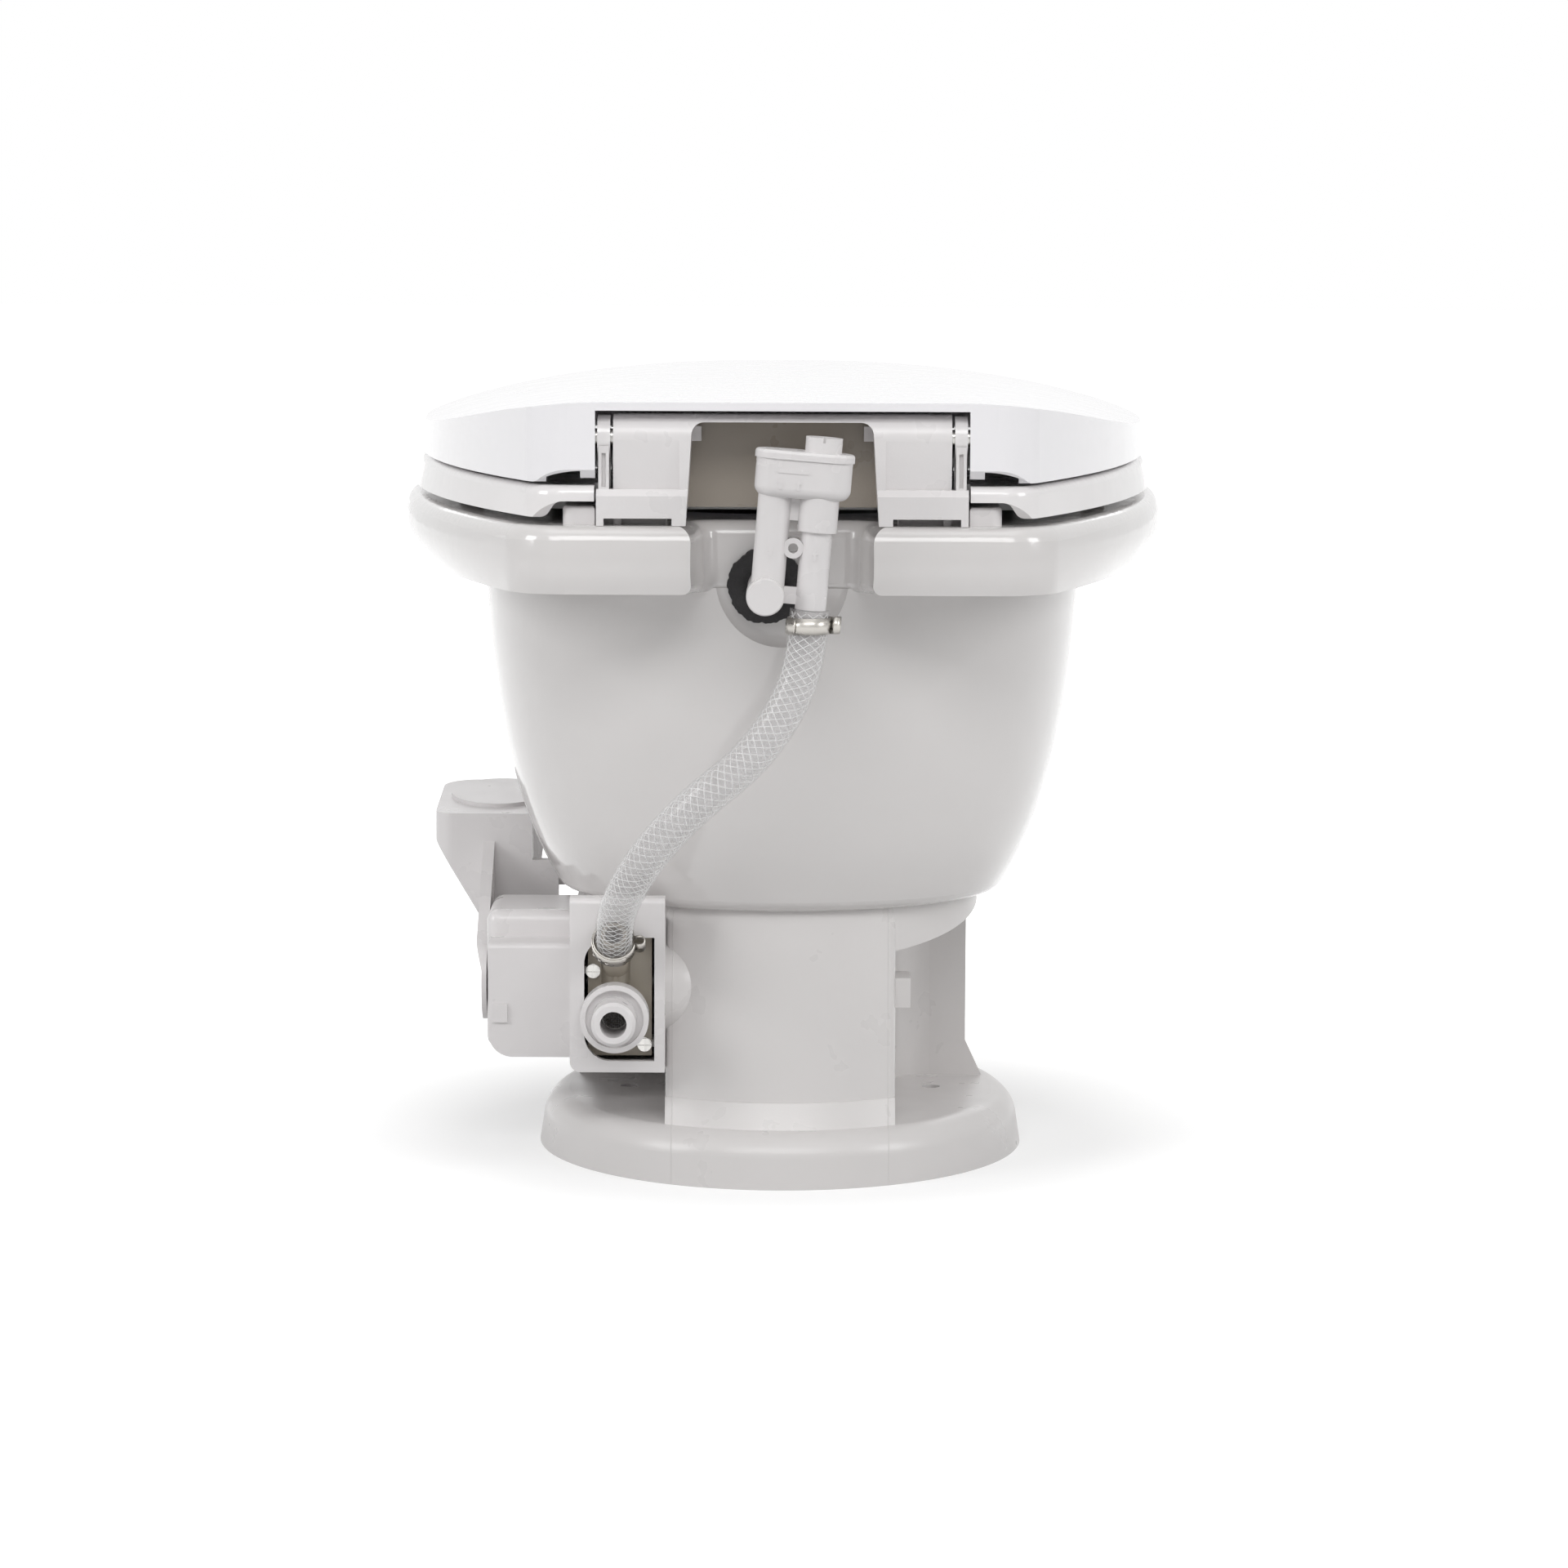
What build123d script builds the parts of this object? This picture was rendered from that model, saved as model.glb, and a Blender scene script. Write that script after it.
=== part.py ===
"""Gravity flush toilet with a foot pedal, as its separate pieces, in millimetres.

Frame: +Z up, the front of the bowl faces -Y, the pedal is on the +X side.
The origin is the centre of the waste outlet at floor level.
"""
from build123d import *
from math import cos, pi, radians, sin, tan
import os

os.makedirs("parts", exist_ok=True)

# Clearances between pieces
running_gap = 0.3
pin_gap = 0.06
seat_gap = 0.2

# Base: an oval foot, a round column, a tail behind it and a pocket on each side
bolt_spacing = 152.4
bolt_hole_radius = 4.5
bolt_boss_radius = 11.0
outlet_radius = 38.0
foot_half_width = 121.0
foot_rear = 140.0
foot_front = -165.0
foot_height = 26.0
foot_draft = 4.0
foot_round = 13.0
base_wall = 5.0
column_radius = 98.5
column_front = -122.0
column_flare_radius = 11.0
column_flare_height = 18.0
bowl_seat_z = 129.5
tail_half_width = 56.0
tail_radius = 101.0
tail_shift = 20.0
tail_edge_round = 5.0
tail_flare = 5.0
tail_flare_height = 12.0
blister_y = 75.0
blister_z = 88.0
blister_radius = 24.0
pocket_front = -35.0
pocket_corner = 20.0
pocket_ceiling = 124.0
pocket_fall = 20.0
clip_y = 73.0
clip_z = 87.3
clip_length = 22.0
clip_height = 14.5
clip_depth = 7.5

# Ball valve: a cap of a sphere that turns about the drive shaft
shaft_z = 80.0
shaft_radius = 7.0
bush_wall = 3.0
ball_radius = 66.0
ball_wall = 4.0
ball_cap_radius = 29.0
throat_radius = 27.5
seal_height = 8.5
seal_outer = 58.0
seal_seat = 46.0
seal_lip = 2.6
chamber_half_x = 40.0
chamber_half_y = 70.0
chamber_floor = 46.0
chamber_corner = 18.0
neck_height = 5.0
neck_radius = 60.0
flush_travel = 48.0

floor_seal_width = 16.0
floor_seal_height = 8.0
arm_width = 6.0
arm_top = 14.0
ball_cap_height = 56.0
hub_wall = 4.0
press_gap = 0.05
bush_length = 13.0
clamp_width = 8.0
clamp_split = 2.0
clamp_height = 18.0
clamp_screw_x = 73.0
clamp_screw_radius = 2.5
clamp_lug = 12.0
clamp_lug_height = 8.0

# Bowl
collar_height = 6.0
foot_recess_radius = 84.0
rim_top = 321.0
rim_half_width = 196.0
rim_widest_y = -145.0
rim_rear = 167.0
rim_front = -330.0
rim_corner_x = 122.0
rim_corner_radius = 30.0
rim_low_z = 289.0
rim_mid_z = 301.0
rim_root_z = 287.0
rim_root_half = 149.0
rim_root_rear = 129.0
rim_root_front = -282.0
rim_root_corner_x = 84.0
rim_low_inset = 9.0
rim_top_inset = 4.0
rim_rear_inset = 2.5
rim_round = 8.0
lobe_round = 4.5
bowl_foot_round = 8.0
inlet_reach_y = 70.0
notch_half_width = 36.5
notch_wall_y = 125.5
notch_centre_z = 297.0
notch_cove = 8.0
notch_draft = 9.0
inlet_x = 7.8
inlet_z = 290.5
inlet_bore_radius = 9.4

# Seat, lid and their hinge
hinge_y = 146.0
hinge_z = 362.0
hinge_pin_radius = 4.0
ear_radius = 10.5
ear_inner_x = 81.0
ear_thickness = 6.0
seat_bottom = 324.5
seat_top = 339.8
seat_half_width = 190.5
seat_rear = 158.0
seat_front = -327.0
seat_corner_x = 115.0
seat_corner_radius = 22.0
lid_bottom = 341.2
lid_top = 379.0
lid_half_width = 187.0
lid_rear = 159.0
lid_front = -330.0
lid_wall = 4.0
lid_recess_half = 88.0
wing_arch_outer = 117.0
wing_arch_middle = 107.0
wing_arch_inner = 95.0
wing_arch_height = 5.5
bracket_half_width = 79.6
bracket_rear = 157.0
bracket_front = 119.0
bracket_top = 373.0
ledge_half_width = 87.5
ledge_rear = 160.0
ledge_top = 338.0
arch_half_width = 43.5
arch_top = 369.5
arch_corner = 6.0
arch_stop_y = 128.0
arch_stop_z = 363.0
arch_stop_width = 5.0
arch_stop_height = 7.0
arch_stop_depth = 6.0
tower_inner_x = 50.0
tower_wall = 3.6
pad_top = 327.5
hinge_bolt_x = 68.0
hinge_bolt_y = 138.0
hinge_bolt_radius = 4.0
bolt_play = 0.5
hinge_bolt_pocket = 11.5
hinge_bolt_pocket_top = 300.0

gasket_radius = 18.2
gasket_thickness = 7.0
seat_draft = 4.0
seat_edge_round = 4.5
seat_hole = (113.0, 76.0, -262.0, -80.0)
seat_step_y = 96.0
seat_step_half = 109.0
seat_step_run = 11.0
seat_step_height = 7.8
seat_rear_bevel = 9.0
bracket_gap = 4.5
ear_back_y = 143.0
seat_bumper_spots = ((158.0, -60.0), (120.0, -250.0))
bumper_radius = 6.0
lid_corner_x = 115.0
lid_draft = 2.5
lid_flat_rear = 88.0
lid_fall_rear = 27.0
lid_flat_front = 20.0
lid_fall_front = 19.0
lid_slope = 1.5
lid_lip_z = 375.0
lid_rear_bevel = 6.0
lid_bumper_spots = ((160.0, -70.0), (120.0, -252.0))
flange_front = 126.0
flange_thickness = 3.0
arch_spread = 2.0
ledge_front = 143.0
ledge_bevel = 3.0
tower_inner_rear = 150.0
panel_margin = 5.0
panel_depth = 3.0
panel_top = 361.0
pin_boss_length = 13.0
fin_front = 150.0
fin_top = 359.0
fin_width = 5.0
foot_slot_inner = 52.0
foot_slot_outer = 84.0
foot_slot_height = 3.5
pad_outer_x = 103.5
pad_inner_x = 55.0
pad_front = 108.0
pad_rear = 153.0
pad_high_x = 88.3
pad_high_top = 329.6
pad_round = 5.0
pad_edge_round = 1.5
hinge_bolt_head = 6.5
hinge_bolt_end = 288.0
washer_thickness = 1.6

# Vacuum breaker, which leans a little to the side; u runs across it and w up it
breaker_y = 180.0
breaker_lean = 4.5
outlet_leg_u = -0.7
supply_leg_u = -21.5
leg_radius = 7.8
supply_leg_radius = 7.3
leg_collar_radius = 9.3
leg_collar_w = 31.5
leg_bottom_w = -5.0
leg_bore = 5.3
barb_length = 14.0
barb_radius = 6.3
barb_bore = 4.5
boss_radius = 8.9
boss_reach = 11.0
plug_thickness = 1.5
outlet_tube_radius = 8.6
outlet_end_y = 100.0
chamber_u = -13.2
chamber_bottom_w = 46.5
chamber_top_w = 64.5
chamber_width = 45.0
chamber_depth = 22.5
chamber_wall = 2.2
chamber_round = 5.0
cap_overhang = 1.6
cap_thickness = 4.0
port_radius = 8.6
port_bore = 6.4
port_top_w = 75.5
web_thickness = 3.0
lower_web_w = (-3.0, 5.0)
upper_web_w = (36.0, 47.5)
lug_u = -11.1
lug_w = 23.2
lug_radius = 4.8
lug_hole_radius = 2.35
lug_thickness = 9.0
mark_relief = 0.4
level_u = -8.4
level_w = 59.0
level_length = 14.3
arrow_length = 5.6
arrow_w = 21.0
float_radius = 8.2
float_thickness = 3.0
float_rest_w = 49.0
float_travel = 6.0
float_stem = 9.0

# Water hose and its clamps
hose_radius = 9.5
hose_bore = 6.4
hose_top_run = 24.6
hose_bottom_run = 25.2
band_width = 8.0
band_thickness = 1.1
clamp_set_back = 3.5
clamp_end_gap = 0.5
ear_reach = 5.0
ear_width = 6.0

# Water valve
valve_x = 80.0
valve_plate_y = 96.0
valve_plate_thickness = 3.0
valve_plate_left = 62.5
valve_plate_right = 93.5
valve_plate_low = 58.5
valve_plate_top = 116.5
valve_front = 62.0
valve_body_radius = 15.0
valve_wall = 2.5
valve_seat_y = 76.0
valve_lip = 4.0
valve_lip_bore = 4.0
valve_seat_radius = 5.0
inner_tube_radius = 8.5
gland_length = 4.0
rod_radius = 2.0
column_bulge = 7.6
column_start = 14.5
column_bore = 3.8
column_end = 29.0
column_rib_height = 8.0
rib_width = 1.6
barb_z = 102.0
barb_rise = 35.0
barb_shoulder = 21.0
supply_radius = 10.65
supply_bore = 6.4
supply_end_y = 139.0
supply_chamfer = 1.5
inlet_neck_radius = 14.3
collar_radius = 16.6
collar_front_y = 111.0
collar_rear_y = 122.0
screen_y = 112.0
collar_groove = 3.0
screen_pitch = 3.2
valve_screw_spots = ((91.0, 100.0), (66.0, 64.0))
valve_screw_radius = 1.75
valve_screw_length = 16.0
cam_radius = 14.0
cam_throw = 3.69
cam_width = 8.0

# Valve housing and hub cover
housing_inner_x = tail_half_width
housing_outer_x = 102.0
housing_rear = 110.0
housing_front = -30.0
housing_bottom = 52.0
housing_top = 137.0
housing_low_top = pocket_ceiling - running_gap
housing_raised_y = 96.0
housing_wall = 4.0
housing_round = 5.0
housing_edge_round = 3.0
housing_boss_radius = 3.3
housing_boss_length = 20.0
opening_left = 61.0
opening_right = 95.0
opening_low = 57.5
opening_top = 118.0
opening_round = 13.0
hub_outer_x = 147.0
hub_top = 118.0
hub_bottom = 48.0
hub_front = -40.0
hub_rear = 45.0
hub_step_y = 22.0
hub_step_z = 105.0
hub_end_set_back = 2.0
hub_wall_thickness = 3.0
hub_round = 6.0
snap_tab_x = 139.0
snap_tab_z = 70.0
snap_tab_width = 7.0
snap_tab_height = 9.0
snap_tab_depth = 1.2
cartridge_radius = 28.0
cartridge_end_x = 138.0
spring_outer = 22.0
spring_inner = 9.0

# Foot pedal
pedal_rear = -62.5
pedal_front = -158.0
pedal_inner_x = 128.0
pedal_tip_x = 116.0
pedal_outer_x = 178.0
pedal_taper_y = -102.0
pedal_neck_front = -80.0
pedal_neck_low = 99.0
pedal_rear_top = 156.0
pedal_front_top = 162.0
pedal_depth = 17.0
pedal_corner = 18.0
pedal_cheek_x = 153.0
pedal_gusset_low = 99.5
pedal_gusset_top = 141.5
pedal_wall = 4.0
pedal_pad_x = 147.0
pedal_pad_y = -115.0
pedal_pad_half_width = 25.5
pedal_pad_half_length = 36.0
pedal_pad_height = 2.0
pedal_neck_inner_x = 114.5
pedal_neck_inner_top = 132.0
pedal_rib_x = 105.0
pedal_rib_width = 6.0
pedal_rib_y = -77.0
pedal_rib_depth = 12.0
pedal_rib_low = 118.0
pedal_rib_top = 137.0
pedal_boss_radius = 12.0
pedal_boss_inner_x = 138.5
pedal_screw_radius = 2.25
pedal_screw_head = 1.8
cheek_radius = 20.0
cheek_thin = 2.8
shaft_end_x = 147.0
screw_depth = 12.0


def egg(half_width, rear, front, middle=0.0):
    """Oval face: a rear and a front half ellipse that meet where it is widest."""
    with BuildSketch() as face:
        with BuildLine():
            EllipticalCenterArc((0, middle), half_width, rear - middle, arc_size=180)
            EllipticalCenterArc((0, middle), half_width, middle - front, start_angle=180, arc_size=180)
        make_face()
    return face.sketch


def rim_outline(half_width, rear, front, corner_x, corner_radius, widest=rim_widest_y):
    """Toilet outline: straight across the back, rounded corners, long sides, oval front."""
    with BuildSketch() as face:
        with BuildLine():
            Line((-corner_x, rear), (corner_x, rear))
            for side in (-1, 1):
                TangentArc((side * half_width, widest), (side * corner_x, rear), tangent=(0, 1))
            EllipticalCenterArc((0, widest), half_width, widest - front, start_angle=180, arc_size=180)
        make_face()
        fillet(face.vertices().group_by(Axis.Y)[-1], corner_radius)
    return face.sketch


def across(x):
    """Plane at a given X whose sketches are drawn as (Y, Z)."""
    return Plane(origin=(x, 0, 0), x_dir=(0, 1, 0), z_dir=(1, 0, 0))


def facing_rear(y):
    """Plane at a given Y whose sketches are drawn as (X, Z) and grow towards +Y."""
    return Plane(origin=(0, y, 0), x_dir=(-1, 0, 0), z_dir=(0, 1, 0))


def save(piece, name):
    """Label a finished piece and write it to its own file."""
    piece.part.label = name
    export_step(piece.part, "parts/" + name + ".step")


# Base
bolt_x = bolt_spacing / 2
foot_top = (foot_half_width - foot_draft, foot_rear - foot_draft, foot_front + foot_draft)
deck_z = bowl_seat_z - base_wall

with BuildPart() as tail:
    with BuildSketch():
        with Locations((0, tail_shift)):
            Circle(tail_radius)
    with BuildSketch(Plane.XY.offset(bowl_seat_z)):
        Circle(column_radius)
    loft()
    with BuildSketch():
        with Locations((0, foot_rear / 2)):
            Rectangle(2 * tail_half_width, foot_rear)
    extrude(amount=bowl_seat_z, mode=Mode.INTERSECT)
    # The tail's long corners are rounded over
    fillet([edge for edge in tail.edges() if abs(abs(edge.center().X) - tail_half_width) < 0.1
            and edge.center().Y > blister_y and edge.length > bowl_seat_z / 2], tail_edge_round)
    # Round swelling beside the water valve
    with Locations((tail_half_width, blister_y, blister_z)):
        Sphere(blister_radius)
    with BuildSketch():
        with Locations((0, foot_rear / 2)):
            Rectangle(2 * tail_half_width, foot_rear)
    extrude(amount=bowl_seat_z, mode=Mode.INTERSECT)

# Flare where the tail runs out into the foot
with BuildPart() as tail_foot:
    with BuildSketch(Plane.XY.offset(foot_height - 1)):
        with Locations((0, tail_shift)):
            Circle(tail_radius + tail_flare / 2)
    with BuildSketch(Plane.XY.offset(foot_height + tail_flare_height)):
        with Locations((0, tail_shift)):
            Circle(tail_radius - tail_flare)
    loft()
    with BuildSketch():
        with Locations((0, foot_rear * 0.75)):
            Rectangle(2 * tail_half_width, foot_rear / 2)
    extrude(amount=bowl_seat_z, mode=Mode.INTERSECT)

with BuildPart() as tail_hollow:
    with BuildSketch():
        with Locations((0, tail_shift)):
            Circle(tail_radius - base_wall)
    with BuildSketch(Plane.XY.offset(deck_z)):
        Circle(column_radius - base_wall)
    loft()
    with BuildSketch():
        with Locations((0, foot_rear / 2)):
            Rectangle(2 * (tail_half_width - base_wall), foot_rear)
    extrude(amount=deck_z, mode=Mode.INTERSECT)

with BuildPart() as open_pocket:
    with BuildSketch(across(-tail_half_width)):
        with BuildLine():
            Polyline(
                (pocket_front, foot_height),
                (pocket_front, pocket_ceiling),
                (0, pocket_ceiling),
                (foot_rear, pocket_ceiling - pocket_fall * foot_rear / column_radius),
                (foot_rear, foot_height),
                close=True,
            )
        make_face()
    extrude(amount=-foot_half_width)
    fillet(open_pocket.edges().filter_by(Axis.Z).group_by(Axis.Y)[0].sort_by(Axis.X)[-1], pocket_corner)

with BuildPart() as valve_pocket:
    with BuildSketch(across(tail_half_width)):
        with Locations(((pocket_front + foot_rear) / 2, (foot_height + pocket_ceiling) / 2)):
            Rectangle(foot_rear - pocket_front, pocket_ceiling - foot_height)
    extrude(amount=foot_half_width)

with BuildPart() as shaft_bore:
    with BuildSketch(across(-chamber_half_x - bush_length)):
        with Locations((0, shaft_z)):
            Circle(shaft_radius + bush_wall)
    extrude(amount=chamber_half_x + bush_length + tail_half_width)

with BuildPart() as base_hollow:
    with BuildSketch():
        add(egg(foot_top[0] - base_wall, foot_top[1] - base_wall, foot_top[2] + base_wall))
    extrude(amount=foot_height - base_wall)
    with BuildSketch():
        add(egg(column_radius - base_wall, column_radius - base_wall, column_front + base_wall))
    extrude(amount=deck_z)
    for side in (-1, 1):
        with BuildSketch(Plane.XY.offset(foot_height - base_wall)):
            with Locations((side * (tail_half_width - base_wall + foot_half_width / 2),
                            pocket_front - base_wall + foot_rear / 2)):
                Rectangle(foot_half_width, foot_rear)
        extrude(amount=bowl_seat_z, mode=Mode.SUBTRACT)
    add(tail_hollow.part)

with BuildPart() as base:
    with BuildSketch():
        add(egg(foot_half_width, foot_rear, foot_front))
    with BuildSketch(Plane.XY.offset(foot_height)):
        add(egg(*foot_top))
    loft()
    fillet(base.edges().group_by(Axis.Z)[-1], foot_round)
    with BuildSketch(Plane.XY.offset(foot_height - base_wall)):
        add(egg(column_radius, column_radius, column_front))
    extrude(amount=bowl_seat_z - foot_height + base_wall)
    # Flare where the column runs out into the foot
    with BuildSketch(Plane.XY.offset(foot_height - foot_round / 2)):
        add(egg(column_radius + column_flare_radius, column_radius + column_flare_radius,
                column_front - column_flare_radius))
    with BuildSketch(Plane.XY.offset(foot_height + column_flare_height)):
        add(egg(column_radius, column_radius, column_front))
    loft()
    add(open_pocket.part, mode=Mode.SUBTRACT)
    add(valve_pocket.part, mode=Mode.SUBTRACT)
    add(tail.part)
    add(tail_foot.part)
    add(base_hollow.part, mode=Mode.SUBTRACT)
    with BuildSketch(Plane.XY.offset(bowl_seat_z)):
        Circle(neck_radius)
    extrude(amount=neck_height)
    with BuildSketch():
        with Locations((-bolt_x, 0), (bolt_x, 0)):
            Circle(bolt_boss_radius)
    extrude(amount=foot_height - base_wall / 2)
    # Clip boss in the open pocket
    with BuildSketch(across(-tail_half_width)):
        with Locations((clip_y, clip_z)):
            Rectangle(clip_length, clip_height)
    extrude(amount=-clip_depth)
    # Way down to the valve chamber, through the deck and the neck
    with BuildSketch(Plane.XY.offset(deck_z)):
        RectangleRounded(2 * chamber_half_x, 2 * (seal_seat + 8), chamber_corner)
    extrude(amount=bowl_seat_z - deck_z, mode=Mode.SUBTRACT)
    with BuildSketch(Plane.XY.offset(bowl_seat_z)):
        RectangleRounded(2 * chamber_half_x, 2 * (seal_seat + 1), chamber_corner)
    extrude(amount=neck_height, mode=Mode.SUBTRACT)
    # Shaft bores and the floor bolt holes
    add(shaft_bore.part, mode=Mode.SUBTRACT)
    with BuildSketch():
        with Locations((-bolt_x, 0), (bolt_x, 0)):
            Circle(bolt_hole_radius)
    extrude(amount=foot_height + 1, mode=Mode.SUBTRACT)
save(base, "base")

# Valve chamber: a block inside the base, from the floor to the deck, with the outlet under it
with BuildPart() as valve_chamber:
    with BuildSketch():
        Rectangle(2 * (tail_half_width - base_wall), 2 * (chamber_half_y + base_wall))
    extrude(amount=deck_z)
    with BuildSketch(Plane.XY.offset(chamber_floor)):
        RectangleRounded(2 * chamber_half_x, 2 * chamber_half_y, chamber_corner)
    extrude(amount=deck_z - chamber_floor, mode=Mode.SUBTRACT)
    with BuildSketch():
        Circle(outlet_radius)
    extrude(amount=chamber_floor, mode=Mode.SUBTRACT)
    with BuildSketch():
        Circle(outlet_radius + floor_seal_width + press_gap)
    extrude(amount=floor_seal_height, mode=Mode.SUBTRACT)
    add(shaft_bore.part, mode=Mode.SUBTRACT)
save(valve_chamber, "valve_chamber")


# Floor seal: the ring under the base that closes the joint to the floor flange
with BuildPart() as floor_seal:
    with BuildSketch():
        Circle(outlet_radius + floor_seal_width)
        Circle(outlet_radius, mode=Mode.SUBTRACT)
    extrude(amount=floor_seal_height)
save(floor_seal, "floor_seal")


# Ball valve: rubber seal under the bowl, the ball cap with its two arms, and the bushes
seal_z = bowl_seat_z + neck_height
throat_z = seal_z + seal_height

with BuildPart() as ball_seal:
    with BuildSketch(Plane.XY.offset(seal_z)):
        Circle(seal_outer)
        Circle(seal_seat, mode=Mode.SUBTRACT)
    extrude(amount=seal_height)
    with BuildSketch(Plane.XY.offset(throat_z - seal_lip)):
        Circle(seal_outer)
        Circle(throat_radius, mode=Mode.SUBTRACT)
    extrude(amount=seal_lip)
save(ball_seal, "ball_seal")

arm_inner = ball_cap_radius - arm_width
with BuildPart() as flush_ball:
    with Locations((0, 0, shaft_z)):
        Sphere(ball_radius)
    with BuildSketch(Plane.XY.offset(shaft_z)):
        Circle(ball_cap_radius)
    extrude(amount=ball_radius, mode=Mode.INTERSECT)
    with Locations((0, 0, shaft_z)):
        Sphere(ball_radius - ball_wall, mode=Mode.SUBTRACT)
    for side in (-1, 1):
        with BuildSketch(across(side * arm_inner)):
            with BuildLine():
                Polyline(
                    (-arm_width, shaft_z),
                    (-arm_top, shaft_z + ball_cap_height),
                    (arm_top, shaft_z + ball_cap_height),
                    (arm_width, shaft_z),
                    close=True,
                )
            make_face()
        extrude(amount=side * arm_width)
        with BuildSketch(across(side * arm_inner)):
            with Locations((0, shaft_z)):
                Circle(shaft_radius + hub_wall)
        extrude(amount=side * (chamber_half_x - arm_inner - running_gap))
    with BuildSketch(across(arm_inner)):
        with Locations((0, shaft_z)):
            Circle(shaft_radius + press_gap)
    extrude(amount=chamber_half_x, mode=Mode.SUBTRACT)
    # Stub axle on the side away from the pedal
    with BuildSketch(across(-arm_inner)):
        with Locations((0, shaft_z)):
            Circle(shaft_radius)
    extrude(amount=-(chamber_half_x + bush_length - arm_inner - 1))
save(flush_ball, "flush_ball")

with BuildPart() as pivot_bushes:
    for side in (-1, 1):
        with BuildSketch(across(side * chamber_half_x)):
            with Locations((0, shaft_z)):
                Circle(shaft_radius + bush_wall)
                Circle(shaft_radius + pin_gap, mode=Mode.SUBTRACT)
        extrude(amount=side * bush_length)
save(pivot_bushes, "pivot_bushes")


# Half clamps round the throat joint, and their screws
with BuildPart() as half_clamps:
    with BuildSketch(Plane.XY.offset(bowl_seat_z)):
        Circle(neck_radius + clamp_width)
        Circle(neck_radius + running_gap, mode=Mode.SUBTRACT)
        with Locations((0, 0)):
            Rectangle(clamp_split, 3 * neck_radius, mode=Mode.SUBTRACT)
    extrude(amount=clamp_height)
    with BuildSketch(Plane.XY.offset(bowl_seat_z)):
        with Locations((-clamp_screw_x, 0), (clamp_screw_x, 0)):
            RectangleRounded(clamp_lug, clamp_lug, 3)
            Circle(clamp_screw_radius + press_gap, mode=Mode.SUBTRACT)
    extrude(amount=clamp_lug_height)
save(half_clamps, "half_clamps")

with BuildPart() as clamp_screws:
    with BuildSketch(Plane.XY.offset(bowl_seat_z + clamp_lug_height)):
        with Locations((-clamp_screw_x, 0), (clamp_screw_x, 0)):
            Circle(2 * clamp_screw_radius)
    extrude(amount=clamp_screw_radius)
    with BuildSketch(Plane.XY.offset(bowl_seat_z)):
        with Locations((-clamp_screw_x, 0), (clamp_screw_x, 0)):
            Circle(clamp_screw_radius)
    extrude(amount=clamp_lug_height)
save(clamp_screws, "clamp_screws")


# Bowl: round at the foot, oval above, with a thick rim that overhangs the body
# Tool for the notch at the back, where the water inlet is; its nose leaves a cove
with BuildPart() as notch:
    with BuildSketch(facing_rear(notch_wall_y)):
        with Locations((0, notch_centre_z)):
            Circle(notch_half_width)
        with Locations((0, notch_centre_z + notch_half_width)):
            Rectangle(2 * notch_half_width, 2 * notch_half_width)
    extrude(amount=2 * notch_half_width, taper=-notch_draft)
    fillet(notch.edges().group_by(Axis.Y)[0], notch_cove)

with BuildPart() as rim:
    with BuildSketch(Plane.XY.offset(rim_root_z)):
        add(rim_outline(rim_root_half, rim_root_rear, rim_root_front, rim_root_corner_x, rim_corner_radius))
    with BuildSketch(Plane.XY.offset(rim_low_z)):
        add(rim_outline(rim_half_width - rim_low_inset, rim_rear - rim_rear_inset,
                        rim_front + rim_low_inset, rim_corner_x, rim_corner_radius))
    loft()
    with BuildSketch(Plane.XY.offset(rim_low_z)):
        add(rim_outline(rim_half_width - rim_low_inset, rim_rear - rim_rear_inset,
                        rim_front + rim_low_inset, rim_corner_x, rim_corner_radius))
    with BuildSketch(Plane.XY.offset(rim_mid_z)):
        add(rim_outline(rim_half_width, rim_rear, rim_front, rim_corner_x, rim_corner_radius))
    with BuildSketch(Plane.XY.offset(rim_top)):
        add(rim_outline(rim_half_width - rim_top_inset, rim_rear - rim_rear_inset,
                        rim_front + rim_top_inset, rim_corner_x, rim_corner_radius))
    loft()
    add(notch.part, mode=Mode.SUBTRACT)
    fillet(rim.edges().filter_by_position(Axis.Y, notch_wall_y + 2 * notch_cove, rim_rear)
           .filter_by_position(Axis.X, -notch_half_width - 4 * lobe_round, notch_half_width + 4 * lobe_round)
           .filter_by(GeomType.BSPLINE).group_by(Axis.Z)[0], lobe_round)
    fillet(rim.edges().group_by(Axis.Z)[-1], rim_round)

bowl_sections = (
    (bowl_seat_z, 109.5, 104, -116, 0),
    (160, 125, 114, -150, 0),
    (200, 138, 122, -203, -15),
    (240, 146, 127, -250, -35),
    (rim_low_z, 150.5, 130, -285, -50),
)
cavity_sections = (
    (throat_z + collar_height, 34, 34, -36, 0),
    (170, 82, 66, -90, -6),
    (205, 112, 82, -162, -20),
    (250, 128, 88, -232, -45),
    (292, 132, 86, -268, -60),
    (rim_top + 1, 120, 80, -262, -75),
)
with BuildPart() as bowl_cavity:
    for height, half_width, rear, front, middle in cavity_sections:
        with BuildSketch(Plane.XY.offset(height)):
            add(egg(half_width, rear, front, middle))
    loft()
    with BuildSketch(Plane.XY.offset(throat_z)):
        Circle(throat_radius)
    extrude(amount=collar_height + 4)

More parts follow.
